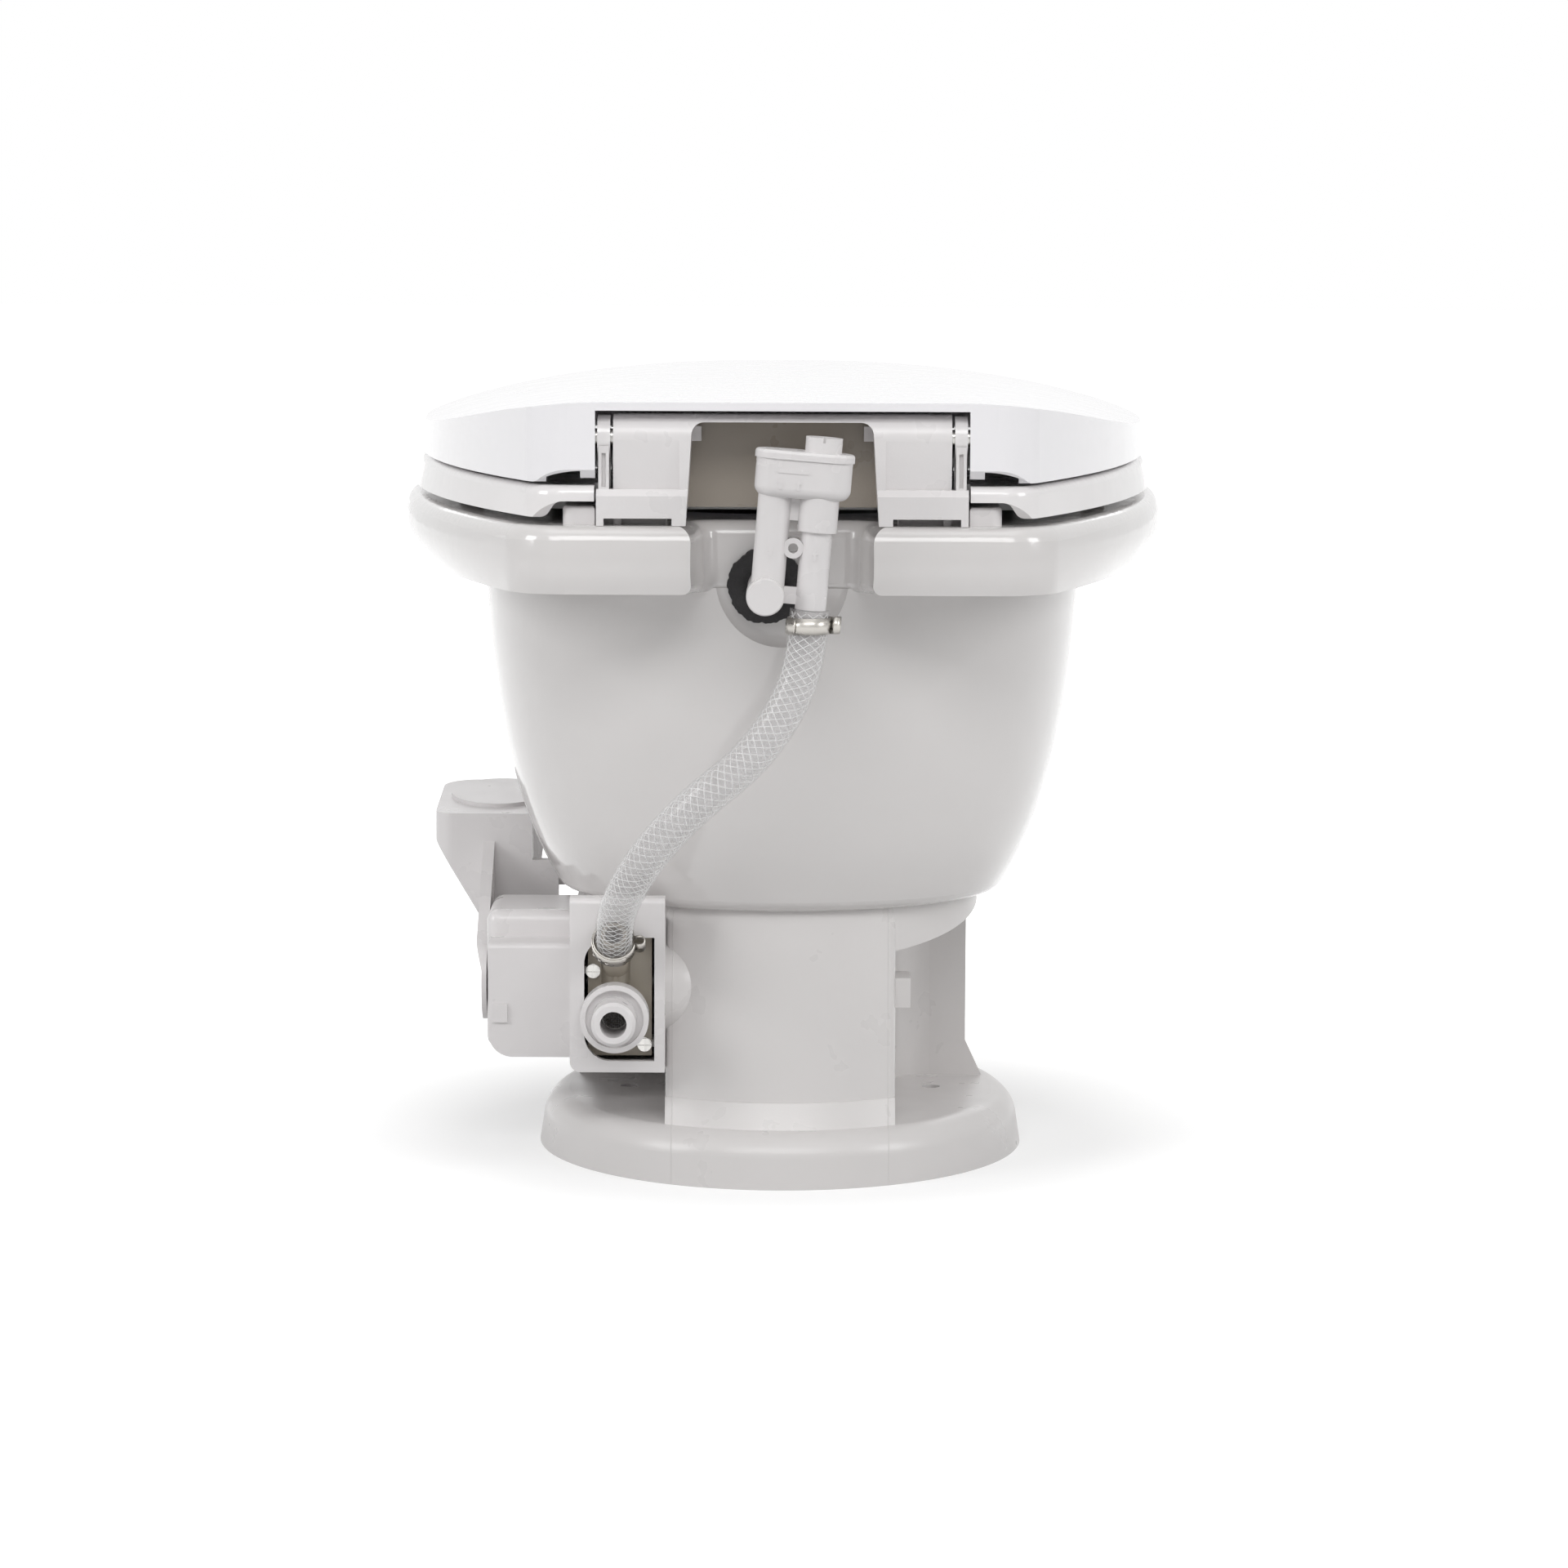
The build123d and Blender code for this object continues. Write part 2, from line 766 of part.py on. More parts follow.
with BuildPart() as bowl:
    for height, half_width, rear, front, middle in bowl_sections:
        with BuildSketch(Plane.XY.offset(height)):
            add(egg(half_width, rear, front, middle))
    loft()
    fillet(bowl.edges().group_by(Axis.Z)[0], bowl_foot_round)
    add(notch.part, mode=Mode.SUBTRACT)
    add(rim.part)
    add(bowl_cavity.part, mode=Mode.SUBTRACT)
    # Recess inside the foot ring, round the throat collar
    with BuildSketch(Plane.XY.offset(bowl_seat_z)):
        Circle(foot_recess_radius)
    extrude(amount=throat_z - bowl_seat_z, mode=Mode.SUBTRACT)
    with BuildSketch(Plane.XY.offset(throat_z)):
        Circle(foot_recess_radius)
        Circle(neck_radius, mode=Mode.SUBTRACT)
    extrude(amount=collar_height, mode=Mode.SUBTRACT)
    # Rinse water inlet and the holes for the hinge bolts
    with BuildSketch(facing_rear(inlet_reach_y)):
        with Locations((-inlet_x, inlet_z)):
            Circle(inlet_bore_radius)
    extrude(amount=notch_wall_y - inlet_reach_y + 1, mode=Mode.SUBTRACT)
    with BuildSketch(Plane.XY.offset(rim_root_z)):
        with Locations((-hinge_bolt_x, hinge_bolt_y), (hinge_bolt_x, hinge_bolt_y)):
            Circle(hinge_bolt_pocket)
    extrude(amount=hinge_bolt_pocket_top - rim_root_z, mode=Mode.SUBTRACT)
    with BuildSketch(Plane.XY.offset(rim_root_z)):
        with Locations((-hinge_bolt_x, hinge_bolt_y), (hinge_bolt_x, hinge_bolt_y)):
            Circle(hinge_bolt_radius + bolt_play)
    extrude(amount=rim_top - rim_root_z + 1, mode=Mode.SUBTRACT)
save(bowl, "bowl")


# Foam gasket round the rinse water inlet
with BuildPart() as inlet_gasket:
    with BuildSketch(facing_rear(notch_wall_y)):
        with Locations((-inlet_x, inlet_z)):
            Circle(gasket_radius)
            Circle(outlet_tube_radius + press_gap, mode=Mode.SUBTRACT)
    extrude(amount=gasket_thickness)
save(inlet_gasket, "inlet_gasket")


# Seat: an oval ring whose two ears reach back to the hinge pins
with BuildPart() as seat:
    with BuildSketch(Plane.XY.offset(seat_bottom)):
        add(rim_outline(seat_half_width, seat_rear, seat_front, seat_corner_x, seat_corner_radius))
    with BuildSketch(Plane.XY.offset(seat_top)):
        add(rim_outline(seat_half_width - seat_draft, seat_rear, seat_front + seat_draft,
                        seat_corner_x, seat_corner_radius))
    loft()
    fillet(seat.edges().group_by(Axis.Z)[-1], seat_edge_round)
    with BuildSketch(Plane.XY.offset(seat_bottom)):
        add(egg(*seat_hole))
    extrude(amount=seat_top - seat_bottom, mode=Mode.SUBTRACT)
    fillet(seat.edges().group_by(Axis.Z)[-1].sort_by(Axis.Y)[1:3], seat_edge_round)
    # Step that clears the riser pads, and the rounded rear edge that swings over the deck
    with BuildSketch(facing_rear(seat_step_y)):
        with BuildLine():
            for side in (-1, 1):
                Spline((side * (seat_step_half + seat_step_run / 2), seat_bottom),
                       (side * (seat_step_half - seat_step_run / 2), seat_bottom + seat_step_height),
                       tangents=((-side, 0), (-side, 0)))
                Line((side * (seat_step_half + seat_step_run / 2), seat_bottom),
                     (side * (seat_step_half + seat_step_run / 2), rim_top))
            Line((-(seat_step_half - seat_step_run / 2), seat_bottom + seat_step_height),
                 (seat_step_half - seat_step_run / 2, seat_bottom + seat_step_height))
            Line((-(seat_step_half + seat_step_run / 2), rim_top), (seat_step_half + seat_step_run / 2, rim_top))
        make_face()
    extrude(amount=seat_rear, mode=Mode.SUBTRACT)
    with BuildSketch(across(-seat_half_width)):
        with BuildLine():
            Polyline(
                (hinge_y + 4, seat_bottom - 1),
                (seat_rear + 1, seat_bottom - 1),
                (seat_rear + 1, seat_bottom + seat_rear_bevel),
                close=True,
            )
        make_face()
    extrude(amount=2 * seat_half_width, mode=Mode.SUBTRACT)
    # Room for the hinge bracket and its ledge
    with BuildSketch(Plane.XY.offset(seat_bottom - 1)):
        with Locations((0, bracket_front - bracket_gap + seat_rear / 2)):
            Rectangle(2 * ear_inner_x, seat_rear)
        with Locations((0, ledge_front - bracket_gap + seat_rear / 2)):
            Rectangle(2 * (ledge_half_width + 1), seat_rear)
    extrude(amount=seat_top, mode=Mode.SUBTRACT)
    for side in (-1, 1):
        with BuildSketch(across(side * ear_inner_x)):
            with BuildLine():
                Polyline(
                    (bracket_front - bracket_gap, seat_bottom + seat_step_height),
                    (ear_back_y, seat_bottom + seat_step_height),
                    (ear_back_y, hinge_z),
                    (hinge_y - ear_radius, hinge_z),
                    (hinge_y - ear_radius - 4, seat_top + 6),
                    (bracket_front - bracket_gap, seat_top),
                    close=True,
                )
            make_face()
            with Locations((hinge_y, hinge_z)):
                Circle(ear_radius)
                Circle(hinge_pin_radius + pin_gap, mode=Mode.SUBTRACT)
        extrude(amount=side * ear_thickness)
save(seat, "seat")

with BuildPart() as seat_bumpers:
    with BuildSketch(Plane.XY.offset(rim_top + seat_gap)):
        with Locations(*[(side * x, y) for side in (-1, 1) for x, y in seat_bumper_spots]):
            Circle(bumper_radius)
    extrude(amount=seat_bottom - rim_top - seat_gap)
save(seat_bumpers, "seat_bumpers")


# Lid: a shallow dome with a skirt, open at the back for the hinge bracket
def crown(drop):
    """Solid under the domed top, which is flat in the middle and falls away to the sides."""
    with BuildPart() as dome:
        for y, flat, fall, height in (
            (lid_rear + 20, lid_flat_rear, lid_fall_rear, lid_top),
            (lid_front - 10, lid_flat_front, lid_fall_front, lid_top - lid_slope),
        ):
            edge = lid_half_width + 3
            with BuildSketch(Plane(origin=(0, y, 0), x_dir=(1, 0, 0), z_dir=(0, -1, 0))):
                with BuildLine():
                    Line((-flat, height - drop), (flat, height - drop))
                    TangentArc((flat, height - drop), (edge, height - drop - fall), tangent=(1, 0))
                    TangentArc((-flat, height - drop), (-edge, height - drop - fall), tangent=(-1, 0))
                    Polyline((edge, height - drop - fall), (edge, lid_bottom - 20),
                             (-edge, lid_bottom - 20), (-edge, height - drop - fall))
                make_face()
        loft()
    return dome.part


with BuildPart() as lid_hollow:
    with BuildSketch(Plane.XY.offset(lid_bottom)):
        add(rim_outline(lid_half_width - lid_wall, lid_rear - lid_wall, lid_front + lid_wall,
                        lid_corner_x - lid_wall, seat_corner_radius - lid_wall))
    extrude(amount=lid_top - lid_bottom)
    add(crown(lid_wall), mode=Mode.INTERSECT)

with BuildPart() as lid_bosses:
    with BuildSketch(Plane.XY.offset(lid_bottom)):
        with Locations(*[(side * x, y) for side in (-1, 1) for x, y in lid_bumper_spots]):
            Circle(bumper_radius + 2)
    extrude(amount=lid_top - lid_bottom)
    add(crown(lid_wall / 2), mode=Mode.INTERSECT)

with BuildPart() as lid:
    with BuildSketch(Plane.XY.offset(lid_bottom)):
        add(rim_outline(lid_half_width, lid_rear, lid_front, lid_corner_x, seat_corner_radius))
    with BuildSketch(Plane.XY.offset(lid_top + 1)):
        add(rim_outline(lid_half_width - lid_draft, lid_rear, lid_front + lid_draft,
                        lid_corner_x, seat_corner_radius))
    loft()
    add(crown(0), mode=Mode.INTERSECT)
    add(lid_hollow.part, mode=Mode.SUBTRACT)
    # Opening at the back, wing undersides and the rear edge that swings past the seat
    with BuildSketch(facing_rear(lid_rear - 2 * lid_wall)):
        with Locations((0, lid_lip_z - lid_recess_half)):
            Rectangle(2 * lid_recess_half, 2 * lid_recess_half)
    extrude(amount=3 * lid_wall, mode=Mode.SUBTRACT)
    for side in (-1, 1):
        with BuildSketch(facing_rear(lid_rear - 2 * lid_wall)):
            with BuildLine():
                ThreePointArc(
                    (side * wing_arch_outer, lid_bottom),
                    (side * wing_arch_middle, lid_bottom + 0.7 * wing_arch_height),
                    (side * wing_arch_inner, lid_bottom + wing_arch_height),
                )
                Polyline(
                    (side * wing_arch_inner, lid_bottom + wing_arch_height),
                    (side * wing_arch_inner, lid_bottom - 1),
                    (side * wing_arch_outer, lid_bottom - 1),
                    (side * wing_arch_outer, lid_bottom),
                )
            make_face()
        extrude(amount=3 * lid_wall, mode=Mode.SUBTRACT)
    # Inner flanges that ride on the hinge pins, and bosses for the bumpers
    for side in (-1, 1):
        with BuildSketch(across(side * lid_recess_half)):
            with BuildLine():
                Polyline(
                    (flange_front, lid_bottom + 3),
                    (lid_rear - 1, lid_bottom + 3),
                    (lid_rear - 1, lid_lip_z + 1),
                    (flange_front, lid_lip_z + 1),
                    close=True,
                )
            make_face()
            with Locations((hinge_y, hinge_z)):
                Circle(hinge_pin_radius + pin_gap, mode=Mode.SUBTRACT)
        extrude(amount=side * flange_thickness)
    add(lid_bosses.part)
    with BuildSketch(across(-lid_half_width)):
        with BuildLine():
            Polyline(
                (lid_rear - lid_rear_bevel, lid_bottom - 0.01),
                (lid_rear + 3, lid_bottom - 0.01),
                (lid_rear + 3, lid_bottom + lid_rear_bevel + 3),
                close=True,
            )
        make_face()
    extrude(amount=2 * lid_half_width, mode=Mode.SUBTRACT)
save(lid, "lid")

with BuildPart() as lid_bumpers:
    with BuildSketch(Plane.XY.offset(seat_top + seat_gap)):
        with Locations(*[(side * x, y) for side in (-1, 1) for x, y in lid_bumper_spots]):
            Circle(bumper_radius)
    extrude(amount=lid_bottom - seat_top - seat_gap)
save(lid_bumpers, "lid_bumpers")


# Hinge bracket: two hollow towers joined over an arch, with a front wall and a rear ledge
with BuildPart() as arch_tool:
    with BuildSketch(facing_rear(bracket_front + tower_wall)):
        with BuildLine():
            Polyline(
                (-arch_half_width - arch_spread, rim_top - 1),
                (-arch_half_width + arch_spread / 2, arch_top),
                (arch_half_width - arch_spread / 2, arch_top),
                (arch_half_width + arch_spread, rim_top - 1),
                close=True,
            )
        make_face()
    extrude(amount=ledge_rear - bracket_front)
    fillet(arch_tool.edges().filter_by(Axis.Y).group_by(Axis.Z)[-1], arch_corner)

with BuildPart() as hinge_bracket:
    with BuildSketch(across(-bracket_half_width)):
        with BuildLine():
            Line((bracket_front, pad_top), (bracket_front, bracket_top - 7))
            Line((bracket_front, bracket_top - 7), (bracket_front + 9, bracket_top))
            Line((bracket_front + 9, bracket_top), (hinge_y, bracket_top))
            RadiusArc((hinge_y, bracket_top), (bracket_rear, hinge_z), bracket_top - hinge_z)
            Line((bracket_rear, hinge_z), (bracket_rear, rim_top))
            Line((bracket_rear, rim_top), (ledge_front, rim_top))
            Line((ledge_front, rim_top), (ledge_front, pad_top))
            Line((ledge_front, pad_top), (bracket_front, pad_top))
        make_face()
    extrude(amount=2 * bracket_half_width)
    # Ledge behind the towers
    with BuildSketch(across(-ledge_half_width)):
        with BuildLine():
            Polyline(
                (tower_inner_rear, rim_top),
                (ledge_rear, rim_top),
                (ledge_rear, ledge_top - ledge_bevel),
                (ledge_rear - ledge_bevel, ledge_top),
                (tower_inner_rear, ledge_top),
                close=True,
            )
        make_face()
    extrude(amount=2 * ledge_half_width)
    # Recessed panels on the towers
    for side in (-1, 1):
        with BuildSketch(across(side * (arch_half_width + panel_margin))):
            with BuildLine():
                Polyline(
                    (bracket_rear + 1, ledge_top),
                    (bracket_rear - panel_depth, ledge_top),
                    (bracket_rear, panel_top),
                    (bracket_rear + 1, panel_top),
                    close=True,
                )
            make_face()
        extrude(amount=side * bracket_half_width, mode=Mode.SUBTRACT)
    for side in (-1, 1):
        # Hollow of the tower, open at the bottom
        with BuildSketch(Plane.XY.offset(rim_top)):
            with Locations((side * (tower_inner_x + bracket_half_width - tower_wall) / 2,
                            (bracket_front + tower_wall + tower_inner_rear) / 2)):
                Rectangle(bracket_half_width - tower_wall - tower_inner_x,
                          tower_inner_rear - bracket_front - tower_wall)
        extrude(amount=bracket_top - tower_wall - rim_top, mode=Mode.SUBTRACT)
        # Floor that the bolt holds down, on top of the riser pad
        with BuildSketch(Plane.XY.offset(pad_top)):
            with Locations((side * (tower_inner_x + bracket_half_width - tower_wall) / 2,
                            (bracket_front + tower_wall + tower_inner_rear) / 2)):
                Rectangle(bracket_half_width - tower_wall - tower_inner_x,
                          tower_inner_rear - bracket_front - tower_wall)
            with Locations((side * hinge_bolt_x, hinge_bolt_y)):
                Circle(hinge_bolt_radius + 0.5, mode=Mode.SUBTRACT)
        extrude(amount=tower_wall)
        # Boss for the hinge pin
        with BuildSketch(across(side * (bracket_half_width - pin_boss_length))):
            with Locations((hinge_y, hinge_z)):
                Circle(2 * hinge_pin_radius)
        extrude(amount=side * (pin_boss_length - 1))
        with BuildSketch(across(side * (bracket_half_width - pin_boss_length))):
            with Locations((hinge_y, hinge_z)):
                Circle(hinge_pin_radius)
        extrude(amount=side * pin_boss_length, mode=Mode.SUBTRACT)
        # Fin under the ear, with its channel
        with BuildSketch(across(side * (ear_inner_x + 0.5))):
            with BuildLine():
                Polyline(
                    (fin_front, ledge_top - 1),
                    (bracket_rear - 0.5, ledge_top - 1),
                    (bracket_rear - 0.5, fin_top),
                    (fin_front, fin_top),
                    close=True,
                )
            make_face()
            with Locations((hinge_y, hinge_z)):
                Circle(ear_radius + 0.6, mode=Mode.SUBTRACT)
        extrude(amount=side * fin_width)
        with BuildSketch(facing_rear(bracket_rear - 2.5)):
            with Locations((-side * (ear_inner_x + 0.5 + fin_width / 2), ledge_top + 9)):
                Rectangle(fin_width - 3, 16)
        extrude(amount=2.5, mode=Mode.SUBTRACT)
    add(arch_tool.part, mode=Mode.SUBTRACT)
    # Small stops in the upper corners of the arch
    with BuildSketch(facing_rear(arch_stop_y)):
        for side in (-1, 1):
            with Locations((side * (arch_half_width - arch_stop_width / 2), arch_stop_z)):
                Rectangle(arch_stop_width, arch_stop_height)
    extrude(amount=arch_stop_depth)
    # Slots under the ledge, between the feet
    for side in (-1, 1):
        with BuildSketch(facing_rear(tower_inner_rear - 1)):
            with Locations((-side * (foot_slot_inner + foot_slot_outer) / 2, rim_top)):
                Rectangle(foot_slot_outer - foot_slot_inner, 2 * foot_slot_height)
        extrude(amount=ledge_rear - tower_inner_rear + 2, mode=Mode.SUBTRACT)
save(hinge_bracket, "hinge_bracket")

with BuildPart() as riser_pads:
    # High outer end, seen under the seat
    for side in (-1, 1):
        with BuildSketch(Plane.XY.offset(rim_top)):
            with Locations((side * (pad_high_x + pad_outer_x) / 2, (pad_front + pad_rear) / 2)):
                Rectangle(pad_outer_x - pad_high_x, pad_rear - pad_front)
        extrude(amount=pad_high_top - rim_top)
    fillet(riser_pads.edges().filter_by(Axis.Z).group_by(Axis.X)[0], pad_round)
    fillet(riser_pads.edges().filter_by(Axis.Z).group_by(Axis.X)[-1], pad_round)
    fillet(riser_pads.edges().group_by(Axis.Z)[-1], pad_edge_round)
    for side in (-1, 1):
        with BuildSketch(Plane.XY.offset(rim_top)):
            with Locations((side * (pad_inner_x + pad_high_x) / 2, (pad_front + ledge_front) / 2)):
                Rectangle(pad_high_x - pad_inner_x, ledge_front - pad_front)
            with Locations((side * hinge_bolt_x, hinge_bolt_y)):
                Circle(hinge_bolt_radius + bolt_play, mode=Mode.SUBTRACT)
        extrude(amount=pad_top - rim_top)
save(riser_pads, "riser_pads")

with BuildPart() as hinge_pins:
    for side in (-1, 1):
        with BuildSketch(across(side * (bracket_half_width - pin_boss_length))):
            with Locations((hinge_y, hinge_z)):
                Circle(hinge_pin_radius)
        extrude(amount=side * (lid_recess_half + flange_thickness + 1 - bracket_half_width + pin_boss_length))
save(hinge_pins, "hinge_pins")

bolt_head_z = pad_top + tower_wall
with BuildPart() as hinge_bolts:
    for side in (-1, 1):
        with BuildSketch(Plane.XY.offset(bolt_head_z)):
            with Locations((side * hinge_bolt_x, hinge_bolt_y)):
                RegularPolygon(hinge_bolt_head, 6)
        extrude(amount=hinge_bolt_radius + 1)
        with BuildSketch(Plane.XY.offset(hinge_bolt_end)):
            with Locations((side * hinge_bolt_x, hinge_bolt_y)):
                Circle(hinge_bolt_radius)
        extrude(amount=bolt_head_z - hinge_bolt_end)
save(hinge_bolts, "hinge_bolts")

with BuildPart() as hinge_washers:
    with BuildSketch(Plane.XY.offset(hinge_bolt_pocket_top)):
        with Locations((-hinge_bolt_x, hinge_bolt_y), (hinge_bolt_x, hinge_bolt_y)):
            Circle(hinge_bolt_pocket - 1)
            Circle(hinge_bolt_radius + 0.3, mode=Mode.SUBTRACT)
    extrude(amount=-washer_thickness)
save(hinge_washers, "hinge_washers")

with BuildPart() as hinge_nuts:
    with BuildSketch(Plane.XY.offset(hinge_bolt_pocket_top - washer_thickness)):
        with Locations((-hinge_bolt_x, hinge_bolt_y), (hinge_bolt_x, hinge_bolt_y)):
            RegularPolygon(hinge_bolt_head, 6)
            Circle(hinge_bolt_radius + press_gap, mode=Mode.SUBTRACT)
    extrude(amount=-(hinge_bolt_radius + 3))
save(hinge_nuts, "hinge_nuts")


# Vacuum breaker: two legs under a chamber; it leans a little to one side
breaker = Plane(
    origin=(inlet_x, breaker_y, inlet_z),
    x_dir=Vector(1, 0, 0).rotate(Axis.Y, -breaker_lean),
    z_dir=Vector(0, 0, 1).rotate(Axis.Y, -breaker_lean),
)
breaker_rear = Plane(origin=breaker.origin, x_dir=-breaker.x_dir, z_dir=(0, 1, 0))
lean_axis = Axis(breaker.origin, breaker.z_dir)


def arrow(u, w, direction):
    """Small flow arrow on the rear of the vacuum breaker."""
    half = arrow_length / 2 * direction
    with BuildSketch() as face:
        Polygon(
            (-u, w + half),
            (-u + arrow_length / 4, w),
            (-u + arrow_length / 10, w),
            (-u + arrow_length / 10, w - half),
            (-u - arrow_length / 10, w - half),
            (-u - arrow_length / 10, w),
            (-u - arrow_length / 4, w),
            align=None,
        )
    return face.sketch


with BuildPart() as vacuum_breaker:
    with BuildSketch(breaker.offset(chamber_bottom_w)):
        with Locations((chamber_u, 0)):
            RectangleRounded(chamber_width, chamber_depth, chamber_depth / 2 - running_gap)
    extrude(amount=chamber_top_w - chamber_bottom_w)
    fillet(vacuum_breaker.edges().group_by(lean_axis)[0], chamber_round)
    # Outlet leg on one side, supply leg with its collar and hose barb on the other
    with BuildSketch(breaker):
        with Locations((outlet_leg_u, 0)):
            Circle(leg_radius)
    extrude(amount=chamber_bottom_w + chamber_wall)
    for start, end, radius in (
        (leg_bottom_w - barb_length, leg_bottom_w, barb_radius),
        (leg_bottom_w, leg_collar_w, supply_leg_radius),
        (leg_collar_w, chamber_bottom_w + chamber_wall, leg_collar_radius),
    ):
        with BuildSketch(breaker.offset(start)):
            with Locations((supply_leg_u, 0)):
                Circle(radius)
        extrude(amount=end - start)
    with BuildSketch(breaker_rear.offset(-boss_radius)):
        Circle(boss_radius)
    extrude(amount=boss_radius + boss_reach)
    with BuildSketch(breaker_rear.offset(outlet_end_y - breaker_y)):
        Circle(outlet_tube_radius)
    extrude(amount=breaker_y - outlet_end_y)
    # Webs between the legs, and the lug ring
    with BuildSketch(breaker_rear.offset(-web_thickness / 2)):
        for low, high in (lower_web_w, upper_web_w):
            with Locations((-(outlet_leg_u + supply_leg_u) / 2, (low + high) / 2)):
                Rectangle(outlet_leg_u - supply_leg_u, high - low)
    extrude(amount=web_thickness)
    with BuildSketch(breaker_rear.offset(-lug_thickness / 2)):
        with Locations((-lug_u, lug_w)):
            Circle(lug_radius)
    extrude(amount=lug_thickness)
    with BuildSketch(breaker_rear.offset(-boss_radius)):
        with Locations((-lug_u, lug_w)):
            Circle(lug_hole_radius)
    extrude(amount=2 * boss_radius, mode=Mode.SUBTRACT)
    # Raised level line and flow arrows
    with BuildSketch(breaker_rear):
        with Locations((-level_u, level_w)):
            Rectangle(level_length, mark_relief * 4)
        for u in (level_u + arrow_length, level_u - arrow_length / 2):
            add(arrow(u, level_w - arrow_length, 1))
    extrude(amount=chamber_depth / 2 + mark_relief)
    with BuildSketch(breaker_rear):
        add(arrow(outlet_leg_u, arrow_w, -1))
    extrude(amount=leg_radius + mark_relief)
    with BuildSketch(breaker_rear):
        add(arrow(supply_leg_u, arrow_w, 1))
    extrude(amount=supply_leg_radius + mark_relief)
    # Chamber hollow and the bores of the legs and the outlet tube
    with BuildSketch(breaker.offset(chamber_bottom_w + chamber_wall)):
        with Locations((chamber_u, 0)):
            RectangleRounded(chamber_width - 2 * chamber_wall, chamber_depth - 2 * chamber_wall,
                             chamber_depth / 2 - chamber_wall - running_gap)
    extrude(amount=chamber_top_w - chamber_bottom_w, mode=Mode.SUBTRACT)
    with BuildSketch(breaker):
        with Locations((outlet_leg_u, 0)):
            Circle(leg_bore)
    extrude(amount=chamber_top_w, mode=Mode.SUBTRACT)
    with BuildSketch(breaker.offset(leg_bottom_w - barb_length)):
        with Locations((supply_leg_u, 0)):
            Circle(barb_bore)
    extrude(amount=barb_length + leg_collar_w - leg_bottom_w, mode=Mode.SUBTRACT)
    with BuildSketch(breaker.offset(leg_collar_w)):
        with Locations((supply_leg_u, 0)):
            Circle(leg_bore)
    extrude(amount=chamber_top_w - leg_collar_w, mode=Mode.SUBTRACT)
    with BuildSketch(breaker_rear.offset(outlet_end_y - breaker_y)):
        Circle(leg_bore)
    extrude(amount=breaker_y - outlet_end_y + boss_reach, mode=Mode.SUBTRACT)
save(vacuum_breaker, "vacuum_breaker")

with BuildPart() as breaker_plug:
    with BuildSketch(breaker_rear.offset(boss_reach)):
        Circle(boss_radius - mark_relief)
    extrude(amount=plug_thickness)
    with BuildSketch(breaker_rear.offset(boss_reach - 2 * plug_thickness)):
        Circle(leg_bore)
    extrude(amount=2 * plug_thickness)
    fillet(breaker_plug.edges().group_by(Axis.Y)[-1], mark_relief)
save(breaker_plug, "breaker_plug")

with BuildPart() as breaker_cap:
    with BuildSketch(breaker.offset(chamber_top_w)):
        with Locations((chamber_u, 0)):
            RectangleRounded(chamber_width + cap_overhang, chamber_depth + cap_overhang,
                             (chamber_depth + cap_overhang) / 2 - running_gap)
    extrude(amount=cap_thickness)
    fillet(breaker_cap.edges().group_by(lean_axis)[-1], cap_overhang)
    with BuildSketch(breaker.offset(float_rest_w + float_thickness + float_travel)):
        with Locations((supply_leg_u, 0)):
            Circle(port_radius)
    extrude(amount=port_top_w - float_rest_w - float_thickness - float_travel)
    with BuildSketch(breaker.offset(chamber_bottom_w)):
        with Locations((supply_leg_u, 0)):
            Circle(port_bore)
    extrude(amount=port_top_w, mode=Mode.SUBTRACT)
    # Notch in the rim of the air port
    with BuildSketch(breaker_rear):
        with Locations((-supply_leg_u, port_top_w)):
            Rectangle(mark_relief * 3, port_radius / 2)
    extrude(amount=chamber_depth, mode=Mode.SUBTRACT)
save(breaker_cap, "breaker_cap")

# Float that shuts the air port while water runs: a disc on a cross-shaped stem
with BuildPart() as breaker_float:
    with BuildSketch(breaker.offset(float_rest_w)):
        with Locations((supply_leg_u, 0)):
            Circle(float_radius)
    extrude(amount=float_thickness)
    with BuildSketch(breaker.offset(float_rest_w - float_stem)):
        with Locations((supply_leg_u, 0)):
            Rectangle(2 * (leg_bore - running_gap), web_thickness)
            Rectangle(web_thickness, 2 * (leg_bore - running_gap))
    extrude(amount=float_stem)
save(breaker_float, "breaker_float")


# Water hose from the valve to the vacuum breaker, as straight runs joined by arcs
barb = Plane(
    origin=(valve_x, valve_plate_y + valve_plate_thickness, barb_z),
    x_dir=(1, 0, 0),
    z_dir=Vector(0, 1, 0).rotate(Axis.X, barb_rise),
)
hose_points = [
    breaker.from_local_coords(Vector(supply_leg_u, 0, leg_bottom_w)),
    breaker.from_local_coords(Vector(supply_leg_u, 0, leg_bottom_w - hose_top_run)),
    Vector(-1.3, 181.0, 234.5),
    Vector(16.3, 183.2, 211.3),
    Vector(40.6, 181.7, 192.0),
    Vector(60.3, 172.7, 169.8),
    Vector(73.8, 156.9, 147.7),
    barb.from_local_coords(Vector(0, 0, barb_shoulder + hose_bottom_run)),
    barb.from_local_coords(Vector(0, 0, barb_shoulder)),
]
hose_runs = [b - a for a, b in zip(hose_points[:-1], hose_points[1:])]
hose_bends = [
    0.45 * min(a.length, b.length) / tan(radians(a.get_angle(b) / 2))
    for a, b in zip(hose_runs[:-1], hose_runs[1:])
]
print("hose points", [tuple(round(v, 1) for v in p) for p in hose_points])
print("hose runs", [round(run.length, 1) for run in hose_runs])
print("hose bend radii", [round(radius, 1) for radius in hose_bends])

